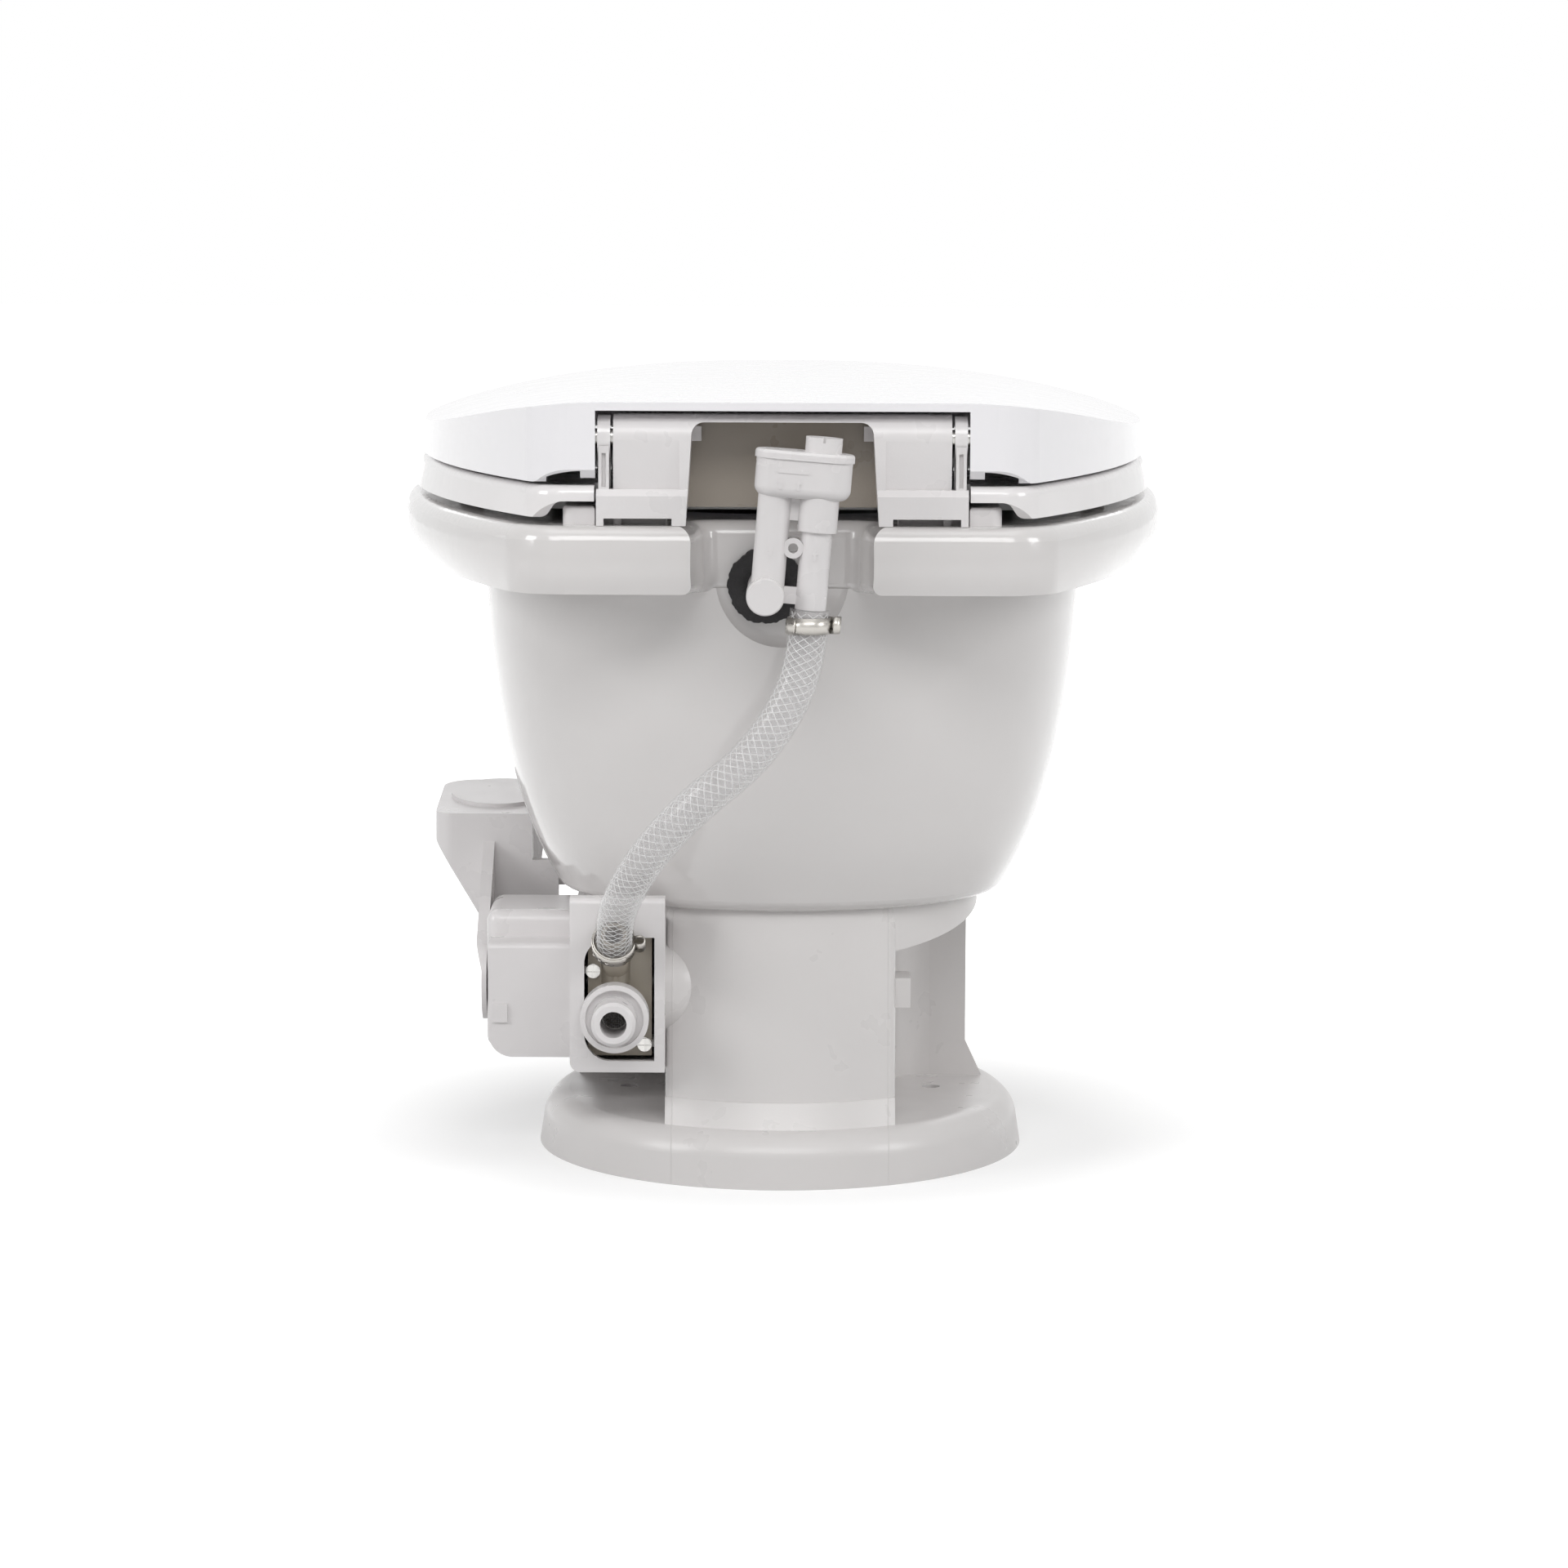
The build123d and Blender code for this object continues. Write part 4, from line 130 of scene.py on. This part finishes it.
# name, place, width, height, watts
softboxes = (
    ("lamp_top", (0.0, 0.2, 2.4), 1.6, 1.4, 7.0),
    ("lamp_back", (0.0, 2.3, 2.0), 2.4, 0.9, 30.0),
    ("lamp_left", (2.3, 1.1, 1.3), 0.9, 1.2, 22.0),
    ("lamp_right", (-2.3, 1.1, 1.3), 0.9, 1.2, 20.0),
    ("lamp_front", (0.0, -2.2, 1.5), 1.8, 1.4, 6.0),
)
for name, place, width, height, watts in softboxes:
    lamp = bpy.data.lights.new(name, "AREA")
    lamp.shape, lamp.size, lamp.size_y, lamp.energy = "RECTANGLE", width, height, watts
    holder = bpy.data.objects.new(name, lamp)
    holder.location = place
    holder.rotation_mode = "QUATERNION"
    holder.rotation_quaternion = (lamp_aim - Vector(place)).to_track_quat("-Z", "Y")
    bpy.context.scene.collection.objects.link(holder)


# Water hose: clear PVC hose with a laid-in net of white yarn, 19 mm across, which
# brings rinse water from the valve's barb up to the vacuum breaker.
hose_radius, hose_bore, hose_length = 0.0095, 0.0064, 0.2254
hose_steps, hose_sides = 160, 48
hose_route = np.array([
    (-13.24, 180, 283.83), (-11.3, 180, 259.3), (-1.3, 181.0, 234.5),
    (16.3, 183.2, 211.3), (40.6, 181.7, 192.0), (60.3, 172.7, 169.8),
    (73.8, 156.9, 147.7), (80.0, 136.8, 128.5), (80.0, 116.2, 114.05),
]) / 1000
yarn_count, yarn_pitch, yarn_radius = 9, 0.0369, 0.0084
yarn_width, yarn_thickness, yarn_weave = 0.00022, 0.00016, 0.00016
yarn_steps, yarn_sides = 360, 6
curve_steps, curve_order = 32, 3
pvc_colour, pvc_alpha, pvc_gloss, pvc_gloss_scale = (0.62, 0.605, 0.61), 0.2, (0.08, 0.22), 240
pvc_waves, pvc_depth, pvc_coat_gloss = ((320, 3, 0.25), (60, 2, 0.5)), 0.0006, 0.05
yarn_colours, yarn_gloss, yarn_sheen = ((0.9, 0.9, 0.9), (0.98, 0.98, 0.98)), 0.35, 0.3
yarn_cloud_scale, yarn_fibre_scale, yarn_fibre_share, yarn_fibre_depth = 900, 4000, 0.4, 0.0001


def grid_mesh(points, wrap_u=False, wrap_v=False):
    """A grid of points, rows by columns, as quads; a wrapped side joins its last to its first."""
    rows, columns = points.shape[:2]
    u = np.arange(rows if wrap_u else rows - 1)[:, None]
    v = np.arange(columns if wrap_v else columns - 1)[None, :]
    u1, v1 = (u + 1) % rows, (v + 1) % columns
    quads = np.stack([u * columns + v, u * columns + v1, u1 * columns + v1, u1 * columns + v], -1)
    return points.reshape(-1, 3), quads.reshape(-1, 4)


def make_piece(name, parts, body, material):
    """Joins grids into one object, closes their seams and poles, and lets it ride on a body."""
    places, faces, first = [], [], 0
    for spots, quads in parts:
        places.append(spots)
        faces.append(quads + first)
        first += len(spots)
    places, faces = np.concatenate(places), np.concatenate(faces)
    mesh = bpy.data.meshes.new(name)
    mesh.from_pydata(places.tolist(), [], faces.tolist())
    shape = bmesh.new()
    shape.from_mesh(mesh)
    bmesh.ops.remove_doubles(shape, verts=shape.verts, dist=1e-6)
    bmesh.ops.recalc_face_normals(shape, faces=shape.faces)
    shape.to_mesh(mesh)
    shape.free()
    mesh.polygons.foreach_set("use_smooth", np.ones(len(mesh.polygons), bool))
    mesh.materials.append(material)
    mesh.update()
    piece = bpy.data.objects.new(name, mesh)
    bpy.context.scene.collection.objects.link(piece)
    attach(piece, body)
    return piece


def material_tree(name):
    """A new node material, with its tree and its shader."""
    material = bpy.data.materials.new(name)
    material.use_nodes = True
    return material, material.node_tree, material.node_tree.nodes["Principled BSDF"]


def noise(tree, scale, detail=2.0, stretch=(1, 1, 1)):
    """Noise in Object coordinates, scaled per metre and stretched along an axis."""
    where = tree.nodes.new("ShaderNodeTexCoord")
    mapping = tree.nodes.new("ShaderNodeMapping")
    mapping.inputs["Scale"].default_value = stretch
    pattern = tree.nodes.new("ShaderNodeTexNoise")
    pattern.inputs["Scale"].default_value = scale
    pattern.inputs["Detail"].default_value = detail
    tree.links.new(where.outputs["Object"], mapping.inputs["Vector"])
    tree.links.new(mapping.outputs[0], pattern.inputs["Vector"])
    return pattern.outputs["Fac"]


def spread(tree, value, low, high, start=0.3, end=0.7):
    """Maps a value from start..end to low..high."""
    ramp = tree.nodes.new("ShaderNodeMapRange")
    tree.links.new(value, ramp.inputs["Value"])
    for key, number in zip(("From Min", "From Max", "To Min", "To Max"), (start, end, low, high)):
        ramp.inputs[key].default_value = number
    return ramp.outputs[0]


def tint(tree, value, first, second):
    """Mixes two colours by a value."""
    mix = tree.nodes.new("ShaderNodeMix")
    mix.data_type = "RGBA"
    tree.links.new(value, mix.inputs["Factor"])
    mix.inputs[6].default_value = (*first, 1)
    mix.inputs[7].default_value = (*second, 1)
    return mix.outputs[2]


def relief(tree, shader, heights, distance):
    """Adds bumps from heights, each with its own strength, one over the other."""
    last = None
    for height, share in heights:
        bump = tree.nodes.new("ShaderNodeBump")
        bump.inputs["Distance"].default_value = distance
        bump.inputs["Strength"].default_value = share
        tree.links.new(height, bump.inputs["Height"])
        if last:
            tree.links.new(last, bump.inputs["Normal"])
        last = bump.outputs[0]
    tree.links.new(last, shader.inputs["Normal"])


hose_line = bpy.data.curves.new("hose_line", "CURVE")
hose_line.dimensions = "3D"
hose_line.resolution_u = curve_steps
spline = hose_line.splines.new("NURBS")
spline.points.add(len(hose_route) - 1)
spline.points.foreach_set("co", np.hstack([hose_route, np.ones((len(hose_route), 1))]).ravel())
spline.order_u = curve_order
spline.use_endpoint_u = True
line_holder = bpy.data.objects.new("hose_line", hose_line)
line_mesh = bpy.data.meshes.new_from_object(line_holder)
hose_path = np.zeros(len(line_mesh.vertices) * 3)
line_mesh.vertices.foreach_get("co", hose_path)
hose_path = hose_path.reshape(-1, 3)
bpy.data.objects.remove(line_holder)
bpy.data.meshes.remove(line_mesh)


def resample(path, count):
    """Points at even distances along a path."""
    far = np.concatenate([[0], np.cumsum(np.linalg.norm(np.diff(path, axis=0), axis=1))])
    at = np.linspace(0, far[-1], count)
    return np.stack([np.interp(at, far, path[:, i]) for i in range(3)], 1), at


def frames_along(path, side=(1, 0, 0)):
    """Tangents of a path and two directions across it, the first kept near a given side."""
    tangent = np.gradient(path, axis=0)
    tangent /= np.linalg.norm(tangent, axis=1)[:, None]
    across = np.array(side) - (tangent @ np.array(side))[:, None] * tangent
    across /= np.linalg.norm(across, axis=1)[:, None]
    return tangent, across, np.cross(tangent, across)


def round_path(path, angle, radius, side=(1, 0, 0)):
    """A point at each angle and radius round each point of a path."""
    _, across, over = frames_along(path, side)
    return path[:, None] + radius[..., None] * (
        np.cos(angle)[..., None] * across[:, None] + np.sin(angle)[..., None] * over[:, None]
    )


tube_path, _ = resample(hose_path, hose_steps)
turn = np.linspace(0, 2 * np.pi, hose_sides, endpoint=False)[None, :]
wall = np.concatenate([
    round_path(tube_path, turn, np.full((hose_steps, hose_sides), hose_radius)),
    round_path(tube_path, turn, np.full((hose_steps, hose_sides), hose_bore))[::-1],
])

clear_pvc, tree, surface = material_tree("clear_pvc")
surface.inputs["Base Color"].default_value = (*pvc_colour, 1)
surface.inputs["Alpha"].default_value = pvc_alpha
surface.inputs["Coat Weight"].default_value = 1.0
surface.inputs["Coat Roughness"].default_value = pvc_coat_gloss
pvc_shine = spread(tree, noise(tree, pvc_gloss_scale, 3), *pvc_gloss)
tree.links.new(pvc_shine, surface.inputs["Roughness"])
relief(tree, surface, [(noise(tree, scale, detail), share) for scale, detail, share in pvc_waves],
       pvc_depth)

hose = make_piece("hose_tube", [grid_mesh(wall, True, True)], "bowl_and_base",
                  clear_pvc)
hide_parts("water_hose")

yarn_path, yarn_at = resample(hose_path[1:-1], yarn_steps)
yarns = []
_, across, over = frames_along(yarn_path)
for hand in (1, -1):
    angle = (hand * 2 * np.pi * yarn_at / yarn_pitch)[:, None] + (
        2 * np.pi * np.arange(yarn_count) / yarn_count
    )
    height = yarn_radius + hand * yarn_weave * np.cos(2 * np.pi * yarn_count * yarn_at / yarn_pitch)
    spokes = np.cos(angle)[..., None] * across[:, None] + np.sin(angle)[..., None] * over[:, None]
    centre = yarn_path[:, None] + height[:, None, None] * spokes
    along = np.gradient(centre, axis=0)
    along /= np.linalg.norm(along, axis=2)[..., None]
    flat = np.cross(along, spokes)
    ring = np.linspace(0, 2 * np.pi, yarn_sides, endpoint=False)
    shut = np.ones(len(yarn_at))[:, None, None, None]
    shut[[0, -1]] = 0
    points = centre[:, :, None] + shut * (
        yarn_width * np.cos(ring)[None, None, :, None] * flat[:, :, None]
        + yarn_thickness * np.sin(ring)[None, None, :, None] * spokes[:, :, None]
    )
    yarns += [grid_mesh(points[:, i], False, True) for i in range(yarn_count)]

white_yarn, tree, surface = material_tree("white_yarn")
yarn_shade = tint(tree, noise(tree, yarn_cloud_scale, 2), *yarn_colours)
tree.links.new(yarn_shade, surface.inputs["Base Color"])
surface.inputs["Roughness"].default_value = yarn_gloss
surface.inputs["Sheen Weight"].default_value = yarn_sheen
fibres = noise(tree, yarn_fibre_scale, 2)
relief(tree, surface, [(fibres, yarn_fibre_share)], yarn_fibre_depth)
hose_net = make_piece("hose_net", yarns, "bowl_and_base", white_yarn)


# Bowl: one large glazed moulding, gloss white, with a rolled rim and a notch at the rear
# for the water spout. It stands on the base and is held by the half clamps.
bowl_colour, bowl_shade = (0.67, 0.65, 0.642), (0.645, 0.626, 0.618)
bowl_gloss, bowl_ripple, bowl_grain, bowl_coat = (0.1, 0.2), 0.22, 0.02, 0.5
cloud_scale, gloss_scale, ripple_scale, grain_scale = 9, 45, 70, 900
skin_depth, coat_gloss = 0.0004, 0.04


def moulded(name, colours, gloss, ripple, grain, coat=0.0):
    """A moulded skin: two near shades in clouds, uneven gloss, slow ripples and a fine grain."""
    material, tree, surface = material_tree(name)
    clouds = spread(tree, noise(tree, cloud_scale, 3), 0, 1)
    tree.links.new(tint(tree, clouds, *colours), surface.inputs["Base Color"])
    tree.links.new(spread(tree, noise(tree, gloss_scale, 3), *gloss), surface.inputs["Roughness"])
    surface.inputs["Coat Weight"].default_value = coat
    surface.inputs["Coat Roughness"].default_value = coat_gloss
    heights = [(noise(tree, ripple_scale, 1), ripple), (noise(tree, grain_scale, 2), grain)]
    relief(tree, surface, heights, skin_depth)
    return material


def dress(material, *names):
    """Gives CAD pieces a finish."""
    for name in names:
        slots = node[name].data.materials
        slots.clear()
        slots.append(material)


glaze = moulded("bowl_glaze", (bowl_colour, bowl_shade), bowl_gloss, bowl_ripple, bowl_grain,
                bowl_coat)
dress(glaze, "bowl")


# Base: moulded shell with a satin skin, with the valve's chamber inside. A fine parting
# line of the mould runs down each side of the tail.
base_colours = (0.67, 0.65, 0.642), (0.65, 0.632, 0.625)
parting_x, parting_width, parting_share, parting_depth = 0.0525, 0.00035, 0.6, 0.0003


def position(tree, axis):
    """One of the Object coordinates: X, Y or Z."""
    where = tree.nodes.new("ShaderNodeTexCoord")
    split = tree.nodes.new("ShaderNodeSeparateXYZ")
    tree.links.new(where.outputs["Object"], split.inputs[0])
    return split.outputs[axis]


base_shell = moulded("base_shell", base_colours, (0.26, 0.38), 0.12, 0.08)
tree = base_shell.node_tree
surface = tree.nodes["Principled BSDF"]
from_line = position(tree, "X")
for operation, number in (("ABSOLUTE", 0.0), ("SUBTRACT", parting_x), ("ABSOLUTE", 0.0)):
    step = tree.nodes.new("ShaderNodeMath")
    step.operation = operation
    step.inputs[1].default_value = number
    tree.links.new(from_line, step.inputs[0])
    from_line = step.outputs[0]
skin = surface.inputs["Normal"].links[0].from_socket
line_bump = tree.nodes.new("ShaderNodeBump")
line_bump.inputs["Distance"].default_value = parting_depth
line_bump.inputs["Strength"].default_value = parting_share
tree.links.new(spread(tree, from_line, 1.0, 0.0, 0.0, parting_width), line_bump.inputs["Height"])
tree.links.new(skin, line_bump.inputs["Normal"])
tree.links.new(line_bump.outputs[0], surface.inputs["Normal"])
dress(base_shell, "base", "valve_chamber")


# Floor seal and ball seal: black rubber rings. One lies under the foot, the other is
# where the flush ball closes.
seal_colours = (0.03, 0.03, 0.032), (0.042, 0.042, 0.044)

seal_rubber = moulded("seal_rubber", seal_colours, (0.45, 0.6), 0.15, 0.2)
dress(seal_rubber, "floor_seal", "ball_seal")


# Lid: the whitest and glossiest piece, with a smooth enamel skin. It turns on the hinge
# pins.
lid_colours = (0.87, 0.86, 0.88), (0.85, 0.84, 0.86)

lid_enamel = moulded("lid_enamel", lid_colours, (0.12, 0.2), 0.2, 0.02, 0.5)
dress(lid_enamel, "lid")


# Seat ring: the same skin as the lid's, a little greyer. It lies between the lid and the
# rim.
seat_colours = (0.81, 0.79, 0.79), (0.79, 0.77, 0.77)

seat_enamel = moulded("seat_enamel", seat_colours, (0.12, 0.22), 0.2, 0.02, 0.5)
dress(seat_enamel, "seat")


# Bumpers of the seat and of the lid: small pads of soft white rubber, duller than the
# skins round them.
bumper_colours = (0.75, 0.74, 0.73), (0.7, 0.69, 0.68)

bumper_rubber = moulded("bumper_rubber", bumper_colours, (0.55, 0.7), 0.1, 0.3)
dress(bumper_rubber, "seat_bumpers", "lid_bumpers")


# White mouldings: hinge bracket with its riser pads, half clamps, valve housing, hub cover,
# pedal and the threaded water inlet, all of one satin plastic.
moulding_colours = (0.75, 0.73, 0.73), (0.725, 0.705, 0.705)

white_moulding = moulded("white_moulding", moulding_colours, (0.24, 0.38), 0.1, 0.1)
dress(white_moulding, "half_clamps", "riser_pads", "valve_inlet",
      "valve_housing", "hub_cover", "pedal")


# Hinge bracket: the same plastic, bolted on the rim. The web behind its arch has painted shade:
# a dull tan-grey colour on its rear face stands in for the shade that falls there under the lid.
web_painted_shade, web_shade_from, web_shade_to = (0.30, 0.265, 0.225), 0.1229, 0.1236

bracket_skin_and_shade = moulded("hinge_bracket", moulding_colours, (0.24, 0.38), 0.1, 0.1)
tree = bracket_skin_and_shade.node_tree
surface = tree.nodes["Principled BSDF"]
# Painted shade: the web's rear face, just behind the arch, is coloured dark tan-grey instead of the
# plastic's white.
web_shade_depth = position(tree, "Y")
mix = tree.nodes.new("ShaderNodeMix")
mix.data_type = "RGBA"
tree.links.new(spread(tree, web_shade_depth, 0, 1, web_shade_from, web_shade_to), mix.inputs["Factor"])
mix.inputs[6].default_value = (*web_painted_shade, 1)
tree.links.new(surface.inputs["Base Color"].links[0].from_socket, mix.inputs[7])
tree.links.new(mix.outputs[2], surface.inputs["Base Color"])
dress(bracket_skin_and_shade, "hinge_bracket")


# Vacuum breaker with its plug and cap, and the flush ball: a smooth plastic, a little
# glossier than the white mouldings.
pale_colours = (0.73, 0.71, 0.71), (0.705, 0.685, 0.685)

pale_moulding = moulded("pale_moulding", pale_colours, (0.2, 0.32), 0.12, 0.06)
dress(pale_moulding, "flush_ball", "vacuum_breaker", "breaker_plug", "breaker_cap")


# Water valve, bushes, float, plunger, cam and spring cartridge: grey-tan acetal, mottled
# in two near shades.
acetal_colours = (0.47, 0.42, 0.345), (0.38, 0.345, 0.29)

valve_acetal = moulded("valve_plastic", acetal_colours, (0.3, 0.45), 0.2, 0.12)
dress(valve_acetal, "pivot_bushes", "breaker_float", "valve_body", "valve_plunger",
      "drive_cam", "spring_cartridge")


# Screws, bolts, washers, nuts, hinge pins and drive shaft: bright stainless steel with
# fine streaks across X.
steel_colours, steel_gloss = ((0.52, 0.51, 0.49), (0.64, 0.63, 0.61)), (0.2, 0.36)
streak_scale, streak_share, streak_depth = 700, 0.2, 0.0002


def steel(name, colours, gloss, stretch):
    """Rolled or turned steel: long fine streaks in shade, gloss and height."""
    material, tree, surface = material_tree(name)
    streak = noise(tree, streak_scale, 3, stretch)
    tree.links.new(tint(tree, streak, *colours), surface.inputs["Base Color"])
    tree.links.new(spread(tree, streak, *gloss), surface.inputs["Roughness"])
    surface.inputs["Metallic"].default_value = 1.0
    relief(tree, surface, [(streak, streak_share)], streak_depth)
    return material


turned_steel = steel("turned_steel", steel_colours, steel_gloss, (1, 0.05, 0.05))
dress(turned_steel, "clamp_screws", "hinge_pins", "hinge_bolts", "hinge_washers", "hinge_nuts",
      "valve_screws", "drive_shaft", "pedal_screw")


# Inlet gasket: a thick ring of black foam with a ragged edge, round the spout on the wall
# of the notch. The edge is a circle with four waves of different counts laid over it.
gasket_middle = np.array([0.0078, 0.1255, 0.2905])
gasket_outer, gasket_inner, gasket_depth = 0.0181, 0.0086, 0.007
gasket_steps, gasket_dips, gasket_dip = 240, 7, 0.04
foam_colours = (0.022, 0.021, 0.022), (0.05, 0.048, 0.05)
gasket_waves = ((5, 0.00025, 0.4), (11, 0.00022, 1.9), (23, 0.00018, 0.7), (41, 0.00012, 2.6))

turn = np.linspace(0, 2 * np.pi, gasket_steps, endpoint=False)
ragged = gasket_outer + sum(
    size * np.sin(count * turn + start) for count, size, start in gasket_waves
)
section = np.array([(0, 0.0), (0.55, 0.0), (0.96, 0.0), (1, 0.08), (0.985, 0.35), (1, 0.6),
                    (0.99, 0.9), (0.95, 1.0), (0.5, 0.985), (0, 1.0)])
reach = gasket_inner + section[None, :, 0] * (ragged[:, None] - gasket_inner)
depth = gasket_depth * (
    section[None, :, 1] * (1 - gasket_dip * np.sin(gasket_dips * turn[:, None]) ** 2)
)
foam_grid = gasket_middle + np.stack([
    reach * np.cos(turn)[:, None], depth + 0 * reach, reach * np.sin(turn)[:, None]
], -1)

dark_foam = moulded("dark_foam", foam_colours, (0.8, 0.95), 0.4, 1.0)
gasket = make_piece("gasket_ring", [grid_mesh(foam_grid, True, True)], "bowl_and_base",
                    dark_foam)
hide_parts("inlet_gasket")


# Hose clamps: two ear clamps of thin steel strip. Each is a band with a pinched ear on the
# right-hand side, an overlapping end and three small hooks that stand up from it.
band_radius, band_thickness, band_width = 0.00965, 0.0007, 0.0078
ear_half, ear_reach, ear_curl = 0.16, 0.0046, 0.0021
overlap_from, overlap_to = 2.2, 5.3
hook_turns, hook_length = (3.7, 4.05, 4.4), 0.0011
hook_half, hook_rise, lap_width = 0.08, 0.0006, 0.8
band_steps, ear_steps, lap_steps, hook_steps = 120, 24, 80, 9
band_colours = (0.36, 0.345, 0.32), (0.5, 0.48, 0.45)
# middle of the band, direction of the hose through it, side of the ear
clamp_places = (
    ((-0.01266, 0.18, 0.27645), (0.0785, 0, -0.9969), (-1, 0, 0)),
    ((0.08, 0.11985, 0.11660), (0, 0.8192, 0.5736), (-1, 0, 0)),
)


def strip(line, width, thickness, closed):
    """A flat strip bent along a plane line: the line and its offset, at both edges of the width."""
    ahead = np.roll(line, -1, 0) - np.roll(line, 1, 0) if closed else np.gradient(line, axis=0)
    ahead /= np.linalg.norm(ahead, axis=1)[:, None]
    outer = line + thickness * np.stack([ahead[:, 1], -ahead[:, 0]], 1)
    rim = np.array([-0.5, 0.5, 0.5, -0.5]) * width
    pairs = np.stack([line, line, outer, outer], 1)
    grid = np.concatenate([pairs, np.broadcast_to(rim[None, :, None], (len(line), 4, 1))], 2)
    if not closed:
        grid[[0, -1]] = grid[[0, -1]].mean(1, keepdims=True)
    return grid


def set_in_place(grid, middle, along, side):
    """Turns a grid of side, cross and along distances into places."""
    along, side = np.array(along), np.array(side)
    return (np.array(middle) + grid[..., :1] * side + grid[..., 1:2] * np.cross(along, side)
            + grid[..., 2:] * along)


around = np.linspace(ear_half, 2 * np.pi - ear_half, band_steps)
band_line = band_radius * np.stack([np.cos(around), np.sin(around)], 1)
curl = np.linspace(-np.pi / 2, np.pi / 2, ear_steps)
ear_line = np.stack([band_radius + ear_reach - ear_curl + ear_curl * np.cos(curl),
                     ear_curl * np.sin(curl)], 1)
lap = np.linspace(overlap_from, overlap_to, lap_steps)
lap_line = (band_radius + band_thickness) * np.stack([np.cos(lap), np.sin(lap)], 1)
clamp_parts = []
for middle, along, side in clamp_places:
    lines = [strip(np.concatenate([band_line, ear_line]), band_width, band_thickness, True),
             strip(lap_line, lap_width * band_width, band_thickness, False)]
    for hook in hook_turns:
        bend = np.linspace(hook - hook_half, hook + hook_half, hook_steps)
        arc = np.cos((bend - hook) / hook_half * np.pi / 2)
        rise = band_radius + 2 * band_thickness + hook_rise * arc
        lines.append(strip(rise[:, None] * np.stack([np.cos(bend), np.sin(bend)], 1),
                           hook_length, band_thickness / 2, False))
    clamp_parts += [grid_mesh(set_in_place(line, middle, along, side), count == 0, True)
                    for count, line in enumerate(lines)]

band_steel = steel("band_steel", band_colours, (0.22, 0.4), (0.3, 0.3, 1))
clamps = make_piece("ear_clamps", clamp_parts, "bowl_and_base", band_steel)
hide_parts("hose_clamps")


# Inlet screen: woven steel wire across the bore of the water inlet, in a thin hoop. Each
# wire rises and falls as a cosine, so that crossing wires pass over and under each other.
screen_middle, screen_radius = np.array([0.08, 0.1125, 0.08]), 0.0062
wire_radius, wire_pitch, wire_weave = 0.00014, 0.0009, 0.00013
wire_side_count, wire_steps, wire_sides = 6, 60, 6
hoop_radius, hoop_steps = 0.0002, 72

wires = []
along_wire = np.linspace(-1, 1, wire_steps)
ring = np.linspace(0, 2 * np.pi, wire_sides, endpoint=False)
for count in range(-wire_side_count, wire_side_count + 1):
    place = count * wire_pitch
    half = np.sqrt(max(screen_radius ** 2 - place ** 2, wire_pitch ** 2))
    run = along_wire * half
    weave = wire_weave * np.cos(np.pi * (run / wire_pitch + count))
    for turned in (False, True):
        sign = -1 if turned else 1
        line = np.stack([run, sign * weave, np.full_like(run, place)], 1)
        if turned:
            line = line[:, [2, 1, 0]]
        side = (0, 0, 1) if not turned else (1, 0, 0)
        tube = round_path(line, ring[None, :], np.full((wire_steps, wire_sides), wire_radius), side)
        tube[[0, -1]] = tube[[0, -1]].mean(1, keepdims=True)
        wires.append(grid_mesh(screen_middle + tube, False, True))
loop = np.linspace(0, 2 * np.pi, hoop_steps, endpoint=False)
hoop = screen_radius * np.stack([np.cos(loop), 0 * loop, np.sin(loop)], 1)
outward = hoop / screen_radius
hoop_tube = hoop[:, None] + hoop_radius * (
    np.cos(ring)[None, :, None] * outward[:, None]
    + np.sin(ring)[None, :, None] * np.array([0, 1, 0])
)
wires.append(grid_mesh(screen_middle + hoop_tube, True, True))

screen = make_piece("woven_screen", wires, "bowl_and_base", turned_steel)
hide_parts("inlet_screen")


# Return spring: round steel wire wound in twelve close turns round the drive shaft, inside
# its cartridge, with both ends cut off straight.
spring_middle, spring_turns, spring_radius, spring_wire = (0, 0, 0.08), 12, 0.0185, 0.00125
spring_start, spring_end, spring_steps, spring_sides = 0.1035, 0.1335, 720, 12
spring_colours = (0.42, 0.42, 0.44), (0.54, 0.54, 0.56)

wound = np.linspace(0, 1, spring_steps)
coil = np.array(spring_middle) + np.stack([
    spring_start + (spring_end - spring_start) * wound,
    spring_radius * np.cos(2 * np.pi * spring_turns * wound),
    spring_radius * np.sin(2 * np.pi * spring_turns * wound),
], 1)
ring = np.linspace(0, 2 * np.pi, spring_sides, endpoint=False)
coil_tube = round_path(coil, ring[None, :], np.full((spring_steps, spring_sides), spring_wire))
coil_tube[[0, -1]] = coil_tube[[0, -1]].mean(1, keepdims=True)

spring_steel = steel("spring_steel", spring_colours, (0.25, 0.4), (0.05, 1, 1))
spring = make_piece("wound_spring", [grid_mesh(coil_tube, False, True)], "bowl_and_base",
                    spring_steel)
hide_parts("return_spring")
